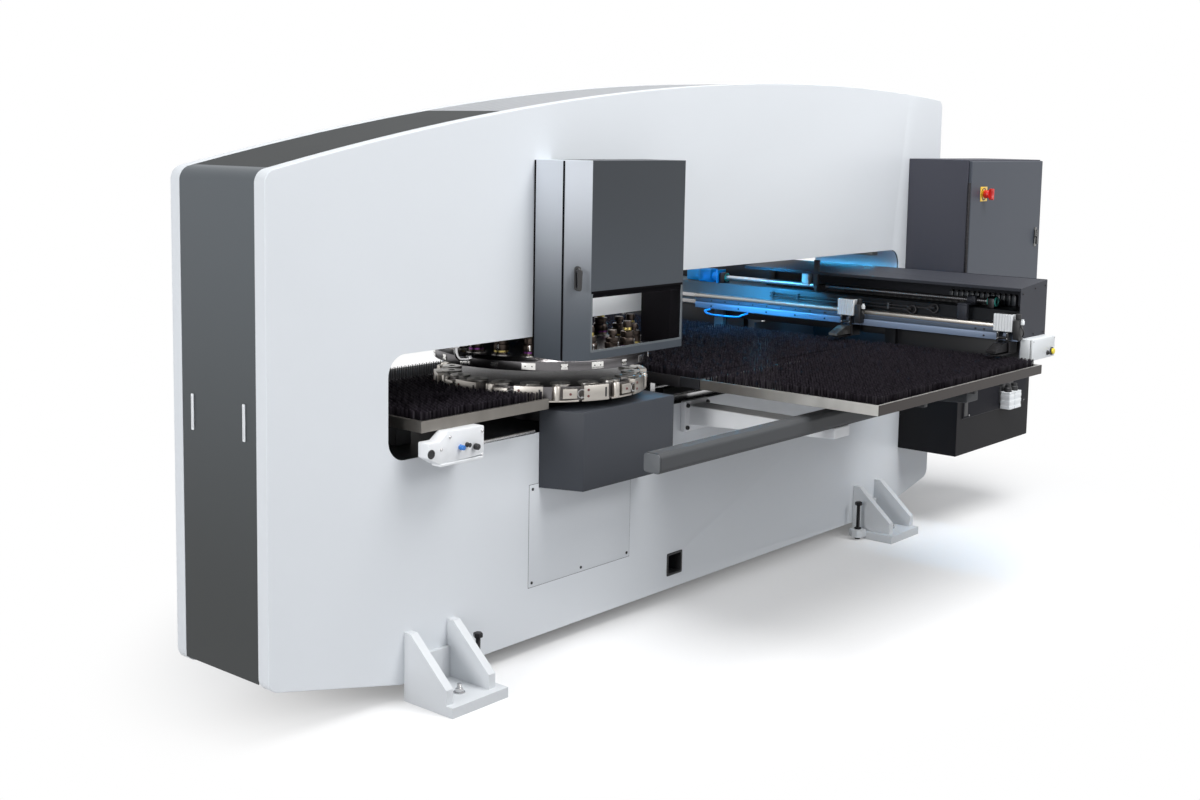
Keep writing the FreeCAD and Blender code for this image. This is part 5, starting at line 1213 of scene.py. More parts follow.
@dataclass
class HeadGuard(Assembly):
    """Sheet guards round the turret, the door's latch handle and the hinges."""

    def build(self) -> None:
        """Round the sheet edges, then build the boxes, the latch handle, the hinges, the window trim, the dark sheets
        of painted shade and the work light.
        """
        for node in ("head_guard", "head_guard_door", "rear_head_guard"):
            self.shop.softened(node, 0.0028, 3, GUARD_GREY_PAINTED_LIGHT)
        self.pedestals()
        self.handle()
        self.hinges()
        self.window_shade_and_light()

    def pedestals(self) -> None:
        """Level boxes below the turret on both faces, with a soft rim at head and foot."""
        plan = [(along(1.333), -0.2635), (along(1.400), -0.442), (along(1.985), -0.442), (along(1.985), -0.2635)]
        skirt = column(rounded_outline(plan, [0.001, 0.005, 0.005, 0.001], 5),
                       [(0.004, 0.6805), (0.0015, 0.6812), (0.0, 0.6832), (0.0, 0.9945), (0.0012, 0.9985),
                        (0.004, 0.9998)])
        self.swap("pedestal_boxes", joined([skirt, skirt.mirrored(Y)]), "pedestals", PEDESTAL_GREY)

    def handle(self) -> None:
        """Swing latch on the chamfered face: oval dish, round lock barrel and a tapered paddle, turned as one."""
        outward = math.atan2(-0.84313, -0.5377)
        dish = prism(rounded_outline(rectangle((-0.013, -0.078), (0.013, 0.018)), 0.0125, 7), 0.0012, 0.006, 0.0016)
        barrel = lathe([(0.0095, 0.004), (0.0095, 0.0245), (0.008, 0.0262), (0.004, 0.0262), (0.0035, 0.0245)], 28)
        paddle = prism(rounded_outline([(-0.0085, -0.0772), (0.0085, -0.0772), (0.0118, 0.008), (-0.0118, 0.008)],
                                       [0.007, 0.007, 0.011, 0.011], 7), 0.027, 0.0375, 0.0035)
        latch = joined([dish, barrel, paddle]).laid(X).turned(outward).at(1.333, -0.4513, 1.567)
        self.swap("guard_latch", latch, "head_guard_handle", GLOSS_BLACK)

    def hinges(self) -> None:
        """Hinge barrels with knuckle grooves on screwed leaves."""
        parts = []
        for low in (1.274, 1.850):
            parts.append(self.barrel(0.08, 5).at(1.9823, -0.429, low))
            parts.append(slabs(0.0008, Z, (1.9751, -0.4235, low + 0.001, 1.9815, -0.4005, low + 0.079)))
        run = 0.990
        parts.append(self.barrel(run, 31).at(4.2787, -0.6223, 0.882))
        parts.append(slabs(0.0006, Z, (4.2805, -0.6165, 0.883, 4.2838, -0.6115, 0.881 + run)))
        self.swap("hinge_barrels", joined(parts), "door_hinges")

    @staticmethod
    def barrel(length: float, knuckles: int, radius: float = 0.0069) -> Shape:
        """Pin barrel whose radius dips at each joint between knuckles."""
        step = length / knuckles
        profile = [(radius * 0.6, 0.0)]
        for index in range(knuckles):
            low, high = index * step, (index + 1) * step
            profile += [(radius, low + 0.0006), (radius, high - 0.0006), (radius * 0.82, high)]
        return lathe(profile, 18)

    def window_shade_and_light(self) -> None:
        """Trim of the door's window, near-black sheets of painted shade at its top edge and on the inner walls, dark
        strips at the guard's gaps, and the work light.
        """
        trim = frame_strip((1.384, 1.244), (1.971, 1.483), 0.0085, -0.4812, -0.4785)
        self.add("window_trim", trim, "head_guard_door", "trim_dark", EDGE_GREY)
        # Near-black sheets behind and over the window's top edge: painted shade.
        top_shade = slabs(0.0006, X, (1.3935, -0.4755, 1.457, 1.9615, -0.4735, 1.480),
                      (1.3850, -0.4818, 1.4740, 1.9700, -0.4795, 1.4835))
        # Dark strips: the guard's joint, and the gap by the front panel as a painted shadow.
        gaps = slabs(0.0004, Z, (1.2866, -0.4205, 1.2165, 1.2885, -0.4110, 1.9880),
                     (1.2866, -0.2710, 1.2165, 1.2885, -0.2632, 1.9880))
        # The inner walls of the guard and door get near-black sheets of painted shade.
        for name, body, shape in (
                ("window_blind", "head_guard_door", top_shade),
                ("guard_gap_seals", "frame", gaps),
                ("guard_lining", "frame", slabs(0.0004, Z, (1.9680, -0.4180, 1.2165, 1.9708, -0.2655, 1.9850))),
                ("door_lining", "head_guard_door",
                 slabs(0.0004, Z, (1.9660, -0.4765, 1.2180, 1.9690, -0.4200, 1.9850)))):
            self.add(name, shape, body, "knob_black", JOINT_AND_SHADE_BLACK)
        bar = slabs(0.002, X, (1.370, -0.300, 1.5600, 1.900, -0.270, 1.5760))
        lens = slabs(0.0004, X, (1.374, -0.298, 1.5590, 1.896, -0.272, 1.5606))
        self.add("work_light_body", bar, "frame", "bright_steel", SATIN_STEEL)
        self.add("work_light_lens", lens, "frame", "bright_steel", WHITE_GLOW)


@dataclass
class Turret(Assembly):
    """Upper and lower turret discs with punches, dies, rim plates and the ram above one station.

    Args:
        centre: X of the turret's axis.
        station_radius: Radius of the station circle.
        radius: Radius of the upper disc.
        stations: Number of stations.
        upper_low: Height of the upper disc's underside.
        upper_top: Height of its top.
        lower_low: Height of the lower disc's underside.
        lower_top: Height of its top.
    """

    centre: float = along(1.629)
    station_radius: float = 0.388
    radius: float = 0.452
    stations: int = 20
    upper_low: float = 1.160
    upper_top: float = 1.212
    lower_low: float = 1.035
    lower_top: float = 1.100

    def around(self, shape: Shape, count: int | None = None, phase: float = 0.0) -> Shape:
        """Copies of a shape round the turret's axis, from the station on +X; one for each station if None."""
        count = count or self.stations
        angles = 2 * np.pi * (np.arange(count) + phase) / count
        return shape.repeated(np.zeros((count, 3)), angles).moved(x=self.centre)

    def other(self, shape: Shape, phase: float = 0.0) -> Shape:
        """Copies of a shape at every other station of the circle; a phase of a half takes the rest."""
        return self.around(shape.moved(x=self.station_radius), self.stations // 2, phase)

    @staticmethod
    def sector(inner: float, outer: float, low: float, high: float, spread: float, soft: float = 0.0012) -> Shape:
        """Block between two radii: a rectangle bent round the axis, p = (r cos a, r sin a)."""
        corners = np.array(rectangle((inner, -spread), (outer, spread)))
        share = np.linspace(0, 1, 9, endpoint=False)[None, :, None]
        r, a = (corners[:, None] + (np.roll(corners, -1, 0) - corners)[:, None] * share).reshape(-1, 2).T
        return column(np.stack([r * np.cos(a), r * np.sin(a)], 1), soft_levels(low, high, soft))

    def build(self) -> None:
        """Build both discs and what stands in them."""
        self.upper_disc()
        self.punches()
        self.lower_disc()
        self.dies()
        self.ram()

    def upper_disc(self) -> None:
        """Upper disc with a turned rim and a step, raised collars round its bores, the hub and the rim plates."""
        low, top, radius = self.upper_low, self.upper_top, self.radius
        disc = lathe([(radius - 0.012, low), (radius - 0.0015, low + 0.0012), (radius, low + 0.003),
                      (radius, low + 0.037), (radius - 0.002, low + 0.039), (radius - 0.006, low + 0.0405),
                      (radius - 0.0165, low + 0.050), (radius - 0.0185, top), (0.20, top), (0.196, top - 0.004),
                      (0.12, top - 0.004), (0.1, top + 0.002), (0.0925, top + 0.012), (0.0915, top + 0.150),
                      (0.088, top + 0.1538), (0.02, top + 0.1538)], 144)
        self.swap("upper_disc", disc.moved(x=self.centre), "upper_turret")
        ring = collar([(0.0405, -0.001), (0.0405, 0.0035), (0.0390, 0.005), (0.0335, 0.005), (0.0322, 0.0035),
                       (0.0322, -0.001)], 28).moved(self.station_radius, 0.0, top)
        self.add("bore_collars", self.around(ring), "upper_turret", "bright_steel", SATIN_STEEL)
        wide = self.sector(radius - 0.0005, radius + 0.0018, low + 0.006, low + 0.033, 0.060, 0.0004)
        small = self.sector(radius - 0.0005, radius + 0.0016, low + 0.008, low + 0.031, 0.030, 0.0004)
        half = self.stations // 2
        self.swap("rim_plates", joined([self.around(wide, half), self.around(small, half, 0.5)]), "station_plates")
        dot = socket_screw(0.0028, 0.0012).laid(X).moved(radius + 0.0016, 0.0, low + 0.0195)
        dots = joined([self.around(dot.turned(turn)) for turn in (-0.030, 0.030)])
        self.add("rim_plate_screws", dots, "upper_turret", "punch_black", GLOSS_BLACK)

    def punches(self) -> None:
        """Punch assemblies: guide, spring can, coloured size ring, spring, striking head and key."""
        top, break_height, share = self.upper_top, 0.03, 0.72
        guide = lathe([(0.0300, 1.1615 - top), (0.0316, 1.1630 - top), (0.0316, 0.010), (0.0305, 0.012),
                       (0.0305, 0.020), (0.0316, 0.022), (0.0316, 0.048), (0.0300, 0.050), (0.0262, 0.051)], 32)
        can = lathe([(0.0262, 0.050), (0.0262, 0.056), (0.0288, 0.058), (0.0288, 0.074), (0.0270, 0.076),
                     (0.0180, 0.0765)], 32)
        head = lathe([(0.0125, 0.074), (0.0125, 0.090), (0.0192, 0.092), (0.0196, 0.094), (0.0196, 0.108),
                      (0.0170, 0.1175), (0.0080, 0.1178)], 28)
        tall = joined([guide, can, head])
        x, y, z = tall.points.T
        pressed = np.stack([x, y, np.where(z > break_height, break_height + (z - break_height) * share, z)], 1)
        short = Shape(pressed, tall.quads, tall.caps)
        band = collar([(0.0312, 0.0125), (0.0312, 0.0195), (0.0302, 0.0195), (0.0302, 0.0125)], 32)
        spring = coil(0.0162, 0.0021, 0.078, 0.091, 3.2)
        tall, short, band, spring = (shape.moved(z=top) for shape in (tall, short, band, spring))
        self.swap("punches", joined([self.other(tall), self.other(short, 0.5)]), "punch_holders")
        self.add("punch_size_rings", self.other(band), "upper_turret", "punch_black", RING_VIOLET)
        self.add("punch_size_rings_gold", self.other(band, 0.5), "upper_turret", "punch_black", RING_GOLD)
        self.add("punch_springs", self.other(spring), "upper_turret", "bright_steel", RING_GOLD)
        key = block((0.0312, -0.003, top + 0.024), (0.0328, 0.003, top + 0.046), 0.0007)
        self.add("punch_keys", self.around(key.moved(x=self.station_radius)), "upper_turret", "bright_steel")

    def lower_disc(self) -> None:
        """Lower drum with a dark core and a rim of bright bolted die blocks, with keys and pull rings."""
        low, top, half = self.lower_low, self.lower_top, self.stations // 2
        core = lathe([(0.400, low), (0.424, low + 0.004), (0.424, top - 0.006), (0.405, top - 0.0035),
                      (0.10, top - 0.0035), (0.06, top - 0.005)], 120)
        boss = lathe([(0.088, low - 0.0197), (0.092, low - 0.017), (0.092, low + 0.002), (0.05, low + 0.002)], 64)
        self.swap("lower_drum", joined([core, boss]).moved(x=self.centre), "lower_turret")
        wide = self.sector(0.4215, 0.4515, low + 0.006, top, 0.128)
        lip = self.sector(0.4215, 0.4480, low + 0.001, low + 0.0075, 0.142, 0.001)
        shoe = self.sector(0.4215, 0.4480, low + 0.014, top - 0.012, 0.066).turned(0.058)
        post = lathe([(0.0150, low + 0.004), (0.0162, low + 0.006), (0.0162, top - 0.004), (0.0140, top),
                      (0.0060, top), (0.0056, top - 0.006)], 28).moved(x=0.4345).turned(-0.062)
        blocks = joined([self.around(wide, half), self.around(joined([shoe, post]), half, 0.5), self.around(lip)])
        self.add("die_blocks", blocks, "lower_turret", "bright_steel", GROUND_STEEL)
        bolt = socket_screw(0.0052, 0.0020).laid(X)
        spots = [(-0.085, low + 0.022, 0.4513, 0.0), (-0.085, low + 0.047, 0.4513, 0.0),
                 (0.062, low + 0.032, 0.4478, 0.5)]
        bolts = joined([self.around(bolt.moved(x=reach).turned(turn).moved(z=height), half, phase)
                        for turn, height, reach, phase in spots])
        self.add("die_block_screws", bolts, "lower_turret", "punch_black", SCREW_RED)
        key = block((0.4500, -0.004, low + 0.014), (0.4524, 0.004, top - 0.012), 0.0008).turned(0.098)
        self.add("die_block_keys", self.around(key, half), "lower_turret", "knob_black")
        ring = collar([(0.0150, -0.002), (0.0185, -0.002), (0.0185, 0.002), (0.0150, 0.002)], 28).laid(X)
        lug = block((0.4460, -0.0025, 1.048), (0.4510, 0.0025, 1.056), 0.0008)
        handle = joined([ring.moved(0.4490, 0.0, 1.068), lug]).turned(0.165)
        self.add("die_pull_rings", self.around(handle, half, 0.5), "lower_turret", "bright_steel")

    def dies(self) -> None:
        """Dies: a turned ring with a chamfered bore, over a dark floor."""
        reach, top = self.station_radius - 0.008, self.lower_top
        die = collar([(0.0412, -0.006), (0.0412, 0.002), (0.0395, 0.0039), (0.0150, 0.0039), (0.0138, 0.0026),
                      (0.0138, -0.006)], 32).moved(reach, 0.0, top)
        floor = lathe([(0.0136, -0.0058), (0.0136, -0.005)], 20).moved(reach, 0.0, top)
        self.swap("dies", self.around(die), "die_holders", SATIN_STEEL)
        self.add("die_floors", self.around(floor), "lower_turret", "knob_black")

    def ram(self) -> None:
        """Ram with a polished nose in its flanged cylinder, and the bearings above and below the turret."""
        x = self.centre + self.station_radius
        nose = lathe([(0.030, 1.3655), (0.0385, 1.3675), (0.0398, 1.3700), (0.0398, 1.4990), (0.02, 1.4995)])
        self.swap("ram_nose", nose.moved(x=x), "ram_striker")
        sleeve = collar([(0.0720, 1.4005), (0.0735, 1.4030), (0.0735, 1.4190), (0.0690, 1.4210), (0.0690, 1.5180),
                         (0.0408, 1.5180), (0.0408, 1.4020), (0.0430, 1.4000)], 56)
        bolt = socket_screw(0.0045, 0.004).mirrored(Z).moved(0.0570, 0.0, 1.4008)
        ring = bolt.repeated(np.zeros((8, 3)), circle(8))
        self.swap("ram_sleeve", joined([sleeve, ring]).moved(x=x), "ram_cylinder")
        self.shop.softened("turret_bearings", 0.004, 3)


@dataclass
class BrushTable(Assembly):
    """Bristle beds in aluminium trays.

    Args:
        pitch: Distance between tufts.
        strands: Bristle bundles in a tuft.
        spread: Radius of a tuft's tip.
        root: Radius of its root.
        seat: Height of the base board's top.
        tip: Height of the bristle tips.
        jitter: Furthest that a tuft stands off its place.
    """

    pitch: float = 0.0205
    strands: int = 7
    spread: float = 0.0034
    root: float = 0.0022
    seat: float = 1.0303
    tip: float = 1.0840
    jitter: float = 0.0016

    def tuft(self) -> Shape:
        """One tuft: thin three-sided spikes that lean outward, p = root c + h/H (spread - root) c."""
        turn = circle(self.strands)
        foot = np.stack([np.cos(turn), np.sin(turn)], 1) * np.where(np.arange(self.strands) == 0, 0.0, 1.0)[:, None]
        ring = even_polygon(1.0, 3)
        heights = (self.tip - self.seat) * (1 - 0.02 * np.abs(np.sin(3.1 * turn)))
        base = foot[:, None] * self.root + ring[None] * 0.0012
        top = foot[:, None] * self.spread + ring[None] * 0.0009
        ends = [np.zeros((self.strands, 3, 1)), np.broadcast_to(heights[:, None, None], (self.strands, 3, 1))]
        points = np.concatenate([np.concatenate(pair, 2) for pair in zip((base, top), ends)], 1).reshape(-1, 3)
        quad = np.array([[0, 1, 4, 3], [1, 2, 5, 4], [2, 0, 3, 5]])
        quads = (quad[None] + 6 * np.arange(self.strands)[:, None, None]).reshape(-1, 4)
        caps = [[6 * k + corner for corner in face] for k in range(self.strands) for face in ((3, 4, 5), (2, 1, 0))]
        return Shape(points, quads, caps)

    def bed(self, low: Pair, high: Pair, seed: int, clear: bool = False) -> Shape:
        """Rows of tufts, every other row set half a pitch over.

        Args:
            low: Low corner as station and Y.
            high: High corner as station and Y.
            seed: Seed of the tufts' turns.
            clear: Leave out what would meet the turret.

        Returns:
            All the tufts.
        """
        width, depth = high[0] - low[0], high[1] - low[1]
        columns, rows = int(width / self.pitch), int(depth / self.pitch)
        x, y = np.meshgrid(np.arange(columns) * self.pitch, np.arange(rows) * self.pitch, indexing="ij")
        x = x + (np.arange(rows)[None] % 2) * self.pitch / 2
        spare_x, spare_y = (width - x.max()) / 2, (depth - y.max()) / 2
        places = np.stack([along(x.ravel() + low[0] + spare_x), y.ravel() + low[1] + spare_y,
                           np.full(x.size, self.seat)], 1)
        if clear:
            distance = np.hypot(places[:, 0] - along(1.629), places[:, 1])
            places = places[distance > 0.460 + 2 * self.spread]
        rng = np.random.default_rng(seed)
        places[:, :2] += rng.uniform(-self.jitter, self.jitter, (len(places), 2))
        return self.tuft().repeated(places, rng.uniform(0, 2 * np.pi, len(places)))

    def boards(self, *beds: tuple[Pair, Pair]) -> Shape:
        """Base boards under beds."""
        return slabs(0.0004, Z, *((*low, 1.0212, *high, self.seat + 0.0004) for low, high in beds))

    def build(self) -> None:
        """Trays with soft rims, and the bristle beds on their boards."""
        for node in ("left_table", "front_table", "rear_table"):
            self.shop.softened(node, 0.0012)
        # The centre tray takes dark beam paint in place of its bright rim metal: painted shade.
        self.shop.softened("centre_table", 0.0012, finish=BEAM_DARK)
        rim, tight = 0.0150, 0.0045
        corner = (0.620 + rim, -0.343 + rim)
        middle = (2.100 + rim, -0.486 + tight), (3.600 - rim, 0.486 - rim)
        front = (2.100 + rim, -1.355 + rim), (3.620 - rim, -0.490 - tight)
        rear = (2.100 + rim, 0.490 + rim), (3.620 - rim, 1.355 - rim)
        self.swap("left_bristles", self.bed(corner, (1.300, 0.343 - rim), 3, clear=True), "fixed_table_brushes")
        self.swap("centre_bristles", self.bed(*middle, 5), "fixed_table_brushes")
        self.swap("front_bristles", self.bed(*front, 7), "side_table_brushes")
        self.swap("rear_bristles", self.bed(*rear, 9), "side_table_brushes")
        boards = self.boards((corner, (1.169, 0.343 - rim)), middle)
        self.add("fixed_brush_boards", boards, "frame", "brush_black", BOARD_BLACK)
        self.add("side_brush_boards", self.boards(front, rear), "bridge", "brush_black", BOARD_BLACK)
        self.rear_strip()
        # A dark strip in front of the centre table's left rim: painted shade over the rim.
        lip = slabs(0.0012, Y, (2.0958, -0.385, 1.0125, 2.0998, 0.40, 1.0605))
        self.add("table_end_rubber", lip, "frame", "brush_black", RUBBER)
        bars = slabs(0.002, Z, *((start, low, 0.992, start + 0.030, high, 1.0148)
                                 for low, high in ((-1.33, -0.52), (0.52, 1.33)) for start in (2.52, 2.98, 3.26)))
        self.add("table_channels", bars, "bridge", "table_edge", BEAM_DARK)
        self.shop.softened("table_posts", 0.003)

    def rear_strip(self) -> None:
        """Strip of plain tufts beside the rear pedestal, in a channel on two brackets."""
        spike = lathe([(0.0034, 1.0310), (0.0032, 1.0800), (0.0018, 1.0960)], 7)
        row = [(along(station), y, 0.0) for y in (0.468, 0.479) for station in np.arange(1.168, 1.610, 0.0208)]
        self.add("strip_tufts", spike.repeated(row), "frame", "brush_black", RUBBER)
        channel = slabs(0.0015, X, (1.150, 0.4605, 1.0030, 1.625, 0.4865, 1.0420))
        arms = slabs(0.0015, Z, *((start, 0.4350, 0.9700, start + 0.030, 0.4640, 1.0045) for start in (1.42, 1.56)))
        self.add("strip_channel", joined([channel, arms]), "frame", "table_edge", BEAM_DARK)


@dataclass
class GuideBeam(Assembly):
    """Outboard guide beams, their arms and the sliders of the travelling tables."""

    def build(self) -> None:
        """Round the beams and castings, and add their bolts and end caps."""
        self.shop.softened("guide_beams", 0.006, 3)
        # The arms are white near the turret and darker further along, as painted shade.
        self.shop.softened("beam_arms", 0.005, 3, ARM_WHITE_PAINTED_SHADE)
        self.shop.softened("slide_blocks", 0.002, finish=BEAM_DARK)
        outline = rounded_outline(rectangle((-0.036, -0.034), (0.036, 0.034)), 0.011, 5)
        caps = [prism(outline, low, high, 0.0015, X).at(station, y, 0.933) for y in (-1.010, 1.010)
                for station, low, high in ((1.110, -0.0035, 0.001), (3.880, -0.001, 0.0035))]
        self.add("beam_end_caps", joined(caps), "frame", "beam_grey", CAP_GREY)
        places = [(station, -0.289, z) for start in (2.285, 3.485) for station in (start, start + 0.150)
                  for z in (0.795, 0.895)]
        front = screws(0.0095, 0.010, places)
        self.add("flange_screws", joined([front, front.mirrored(Y)]), "frame", "knob_black")


@dataclass
class Bridge(Assembly):
    """Bridge carriage: beam, saddles, drives, guides, clamp bar and hood.

    Args:
        front: Station of the clamp bar's front face.
        screw: Station of the cross drive's screw.
        screw_height: Height of its axis.
    """

    front: float = 3.600
    screw: float = 3.712
    screw_height: float = 1.322

    def build(self) -> None:
        """Build every group of the carriage."""
        self.beam()
        self.bar()
        self.cross_drive()
        self.long_drive()
        self.hood()
        self.button_box()

    def beam(self) -> None:
        """Box beam, saddles and guides, the dark plates below the beam, its hoses, sensor and stiffeners."""
        # Beam and saddles carry painted light: paler inside the throat.
        self.shop.softened("bridge_beam", 0.004, finish=BEAM_PAINTED_THROAT_LIGHT)
        self.shop.softened("saddles", 0.005, finish=BEAM_PAINTED_THROAT_LIGHT)
        self.shop.softened("clamp_guides", 0.0015)
        apron = slabs(0.001, Y, (3.690, -1.210, 1.108, 3.6935, 1.210, 1.1615),
                      (3.6855, -1.210, 1.000, 3.6890, -0.492, 1.1615), (3.6855, 0.492, 1.000, 3.6890, 1.210, 1.1615),
                      (3.885, 0.492, 1.000, 3.8885, 1.210, 1.1615), (3.885, 0.270, 1.100, 3.8885, 0.494, 1.1615),
                      (3.885, 0.4872, 1.000, 4.020, 0.4912, 1.1615), (3.872, 0.310, 1.2895, 3.8755, 1.232, 1.405),
                      (3.840, 0.332, 1.4015, 3.8755, 1.232, 1.405))
        self.add("bridge_apron", apron, "bridge", "bridge_dark", BEAM_DARK)
        hoses = [tube([(3.664, 0.20, z), (3.664, end + 0.05, z), (3.662, end, z + 0.010),
                       (3.660, end - 0.035, z + 0.022), (3.657, end - 0.050, z), (3.656, end - 0.030, z - 0.020),
                       (3.660, end, z - 0.006), (3.666, end + 0.03, z)], 0.0046, 12, 8)
                 for z, end in ((1.250, -0.62), (1.266, -0.74))]
        self.add("beam_hoses", joined(hoses), "bridge", "knob_black", CABLE_BLACK)
        clips = slabs(0.002, Z, *((3.655, y, 1.242, 3.6805, y + 0.012, 1.275) for y in (-0.52, -0.30, 0.02, 0.18)))
        self.add("hose_clips", clips, "bridge", "knob_black", VALVE_GREY)
        post = slabs(0.002, Z, (3.604, -0.131, 1.330, 3.622, -0.103, 1.466),
                     (3.604, -0.125, 1.300, 3.690, -0.109, 1.334))
        self.add("sensor_post", post, "bridge", "knob_black")
        self.add("sensor_block", slabs(0.003, Z, (3.606, -0.070, 1.334, 3.640, -0.030, 1.392)), "bridge", "box_white")
        ribs = slabs(0.0004, Z, *((3.8925, y, 1.170, 3.8935, y + 0.012, 1.280) for y in np.arange(-1.1, 1.15, 0.2)))
        self.add("beam_stiffeners", ribs, "bridge", "bridge_dark")

    def bar(self) -> None:
        """Clamp bar: ground top strip, web with a groove, rows of screws, guide shoes and a pull loop."""
        front, low, high, near, far = self.front, 1.155, 1.229, -1.235, 0.650
        web = [(front + 0.0015, low), (front + 0.046, low), (front + 0.046, high), (front, high),
               (front, high - 0.018), (front + 0.004, high - 0.020), (front + 0.004, low + 0.030),
               (front + 0.0005, low + 0.027)]
        self.swap("bar_body", plate(web, 0.0008, near, far, 0.001, 3), "clamp_bar")
        ground = slabs(0.0012, Y, (front - 0.001, near + 0.001, high - 0.0165,
                                   front + 0.047, far - 0.001, high + 0.0012))
        self.add("bar_ground_strip", ground, "clamp_bar", "clamp_rail", GROUND_STEEL)
        groove = slabs(0.0006, Y, (front + 0.0028, near + 0.002, low + 0.033,
                                   front + 0.006, far - 0.002, high - 0.022))
        self.add("bar_groove", groove, "clamp_bar", "clamp_rail", GROOVE_GREY)
        marks = [near + 0.170, near + 0.215, *np.arange(-0.18, far - 0.05, 0.09)]
        rows = [(front + 0.0036, y, high - 0.030) for y in marks]
        rows += [(front + 0.0012, y, low + 0.014) for y in marks[::2]]
        self.add("bar_screws", screws(0.0048, 0.0035, rows, X), "clamp_bar", "knob_black")
        shoes = [(3.6462, y, z + below, right, y + 0.090, z + above) for y in (-1.150, -0.640, -0.130)
                 for z in (1.168, 1.204) for right, below, above in
                 ((3.6796, 0.0204, 0.0258), (3.6796, -0.0058, -0.0004), (3.6655, -0.005, 0.025))]
        self.add("bar_shoes", slabs(0.001, Y, *shoes), "clamp_bar", "bright_steel")
        loop = tube([(3.603, 0.300, 1.150), (3.556, 0.300, 1.146), (3.546, 0.340, 1.132), (3.546, 0.500, 1.132),
                     (3.556, 0.550, 1.146), (3.603, 0.550, 1.150)], 0.0055, 12, 8)
        self.add("bar_pull_loop", loop, "clamp_bar", "motor_blue")

    def cross_drive(self) -> None:
        """Threaded cross screw in flanged bearings, its nut, and the ribbed servo motor with its encoder."""
        station, z = self.screw, self.screw_height
        screw = threaded_rod(0.0119, 0.0016, 0.010, 1.622).laid(Y).at(station, -1.0685, z)
        # The cross screw is bright only inside the throat, as painted light.
        self.swap("cross_screw", screw, "clamp_screw", SCREW_STEEL_PAINTED_LIGHT)
        flange = collar([(0.0235, 0.0), (0.0235, 0.004), (0.0215, 0.006), (0.0150, 0.006), (0.0135, 0.0)], 32)
        blocks, rings = [], []
        for low, high in ((-1.069, -1.035), (0.520, 0.554)):
            corners = rectangle((station - 0.026, 1.2905), (station + 0.026, 1.348))
            blocks.append(plate(corners, [0.002, 0.002, 0.016, 0.016], low, high, 0.0015, 6))
            rings += [flange.facing().at(station, low, z), flange.laid(Y).at(station, high, z)]
        self.swap("screw_bearings", joined(blocks), "clamp_screw_bearings")
        self.add("bearing_covers", joined(rings), "bridge", "motor_blue", COVER_GREEN)
        nut = lathe([(0.0215, -0.0245), (0.0220, -0.0235), (0.0220, 0.012), (0.0215, 0.0135), (0.0180, 0.0145),
                     (0.0180, 0.0245), (0.0135, 0.0247)], 36).laid(Y).at(station, -0.946, z)
        bracket = slabs(0.0015, Y, (3.600, -0.971, 1.302, 3.734, -0.921, 1.312),
                        (3.600, -0.971, 1.2305, 3.623, -0.921, 1.303))
        seat = slabs(0.003, Y, (3.690, -0.968, 1.303, 3.734, -0.950, 1.343))
        self.swap("screw_nut", joined([nut, bracket, seat]), "clamp_screw_nut")
        body = ribbed_block((-0.038, -0.0355, 0.0), (0.038, 0.0355, 0.070), 9, 0.0022, 0.010)
        upright = Shape(body.points[:, [0, 2, 1]], body.quads[:, ::-1], [cap[::-1] for cap in body.caps])
        neck = lathe([(0.026, 0.0), (0.026, 0.038), (0.02, 0.038)], 28).laid(Y)
        motor = [upright.at(station, 0.604, 1.3265),
                 slabs(0.004, Y, (station - 0.036, 0.674, 1.292, station + 0.036, 0.6838, 1.360)),
                 slabs(0.003, Y, (station - 0.0395, 0.5545, 1.2905, station + 0.0395, 0.5665, 1.3615)),
                 neck.at(station, 0.566, z),
                 slabs(0.001, Z, (station - 0.016, 0.640, 1.3605, station + 0.016, 0.668, 1.3618)),
                 slabs(0.005, Y, (station - 0.030, 0.6835, 1.296, station + 0.030, 0.772, 1.354)),
                 slabs(0.002, Y, (station - 0.032, 0.700, 1.300, station + 0.032, 0.704, 1.356))]
        self.swap("cross_motor", joined(motor), "clamp_motor")

    def long_drive(self) -> None:
        """Rails with sunk screws on the throat floor and the threaded long screw."""
        self.shop.softened("travel_rails", 0.0015)
        screw = threaded_rod(0.0158, 0.0020, 0.012, 1.908, 16).laid(X).at(2.201, -0.110, 0.958)
        self.swap("long_screw", screw, "drive_screw")
        places = [(station, y, 0.9298) for station in np.arange(2.24, 4.10, 0.12) for y in (-0.2, 0.2)]
        self.add("rail_screws", screws(0.0055, 0.0012, places, Z), "frame", "knob_black")

    def hood(self) -> None:
        """Sheet hood with a screwed end plate, and the cable carrier and the valves under it."""
        self.shop.softened("hood", 0.0012)
        places = [(3.625, 1.380), (3.760, 1.398), (3.872, 1.405), (3.872, 1.180), (3.760, 1.180), (3.625, 1.180)]
        self.add("hood_screws", screws(0.005, 0.003, [(station, -1.2430, z) for station, z in places]), "bridge",
                 "knob_black")
        sides = [block((x, -0.0165, 0.0), (x + 0.003, 0.0165, 0.030), 0.0012, X) for x in (0.0, 0.055)]
        bars = [block((0.002, -0.0115, z), (0.056, 0.0115, z + 0.003), 0.001, X) for z in (0.001, 0.026)]
        links = [(along(3.785), y, 1.2912) for y in np.arange(-1.02, 0.30, 0.0345)]
        self.add("cable_carrier", joined(sides + bars).repeated(links), "bridge", "knob_black")
        core = slabs(0.006, Y, (3.790, -1.035, 1.2945, 3.838, 0.300, 1.3155))
        self.add("carried_cables", core, "bridge", "knob_black", CABLE_BLACK)
        row = np.arange(-1.10, -0.75, 0.028)
        valves = slabs(0.002, Z, *((3.862, y, 1.2908, 3.886, y + 0.022, 1.340) for y in row))
        self.add("valve_bank", valves, "bridge", "clamp_white", VALVE_GREY)
        caps = slabs(0.002, Z, *((3.864, y + 0.004, 1.3395, 3.884, y + 0.018, 1.3475) for y in row))
        self.add("valve_caps", caps, "bridge", "knob_black")

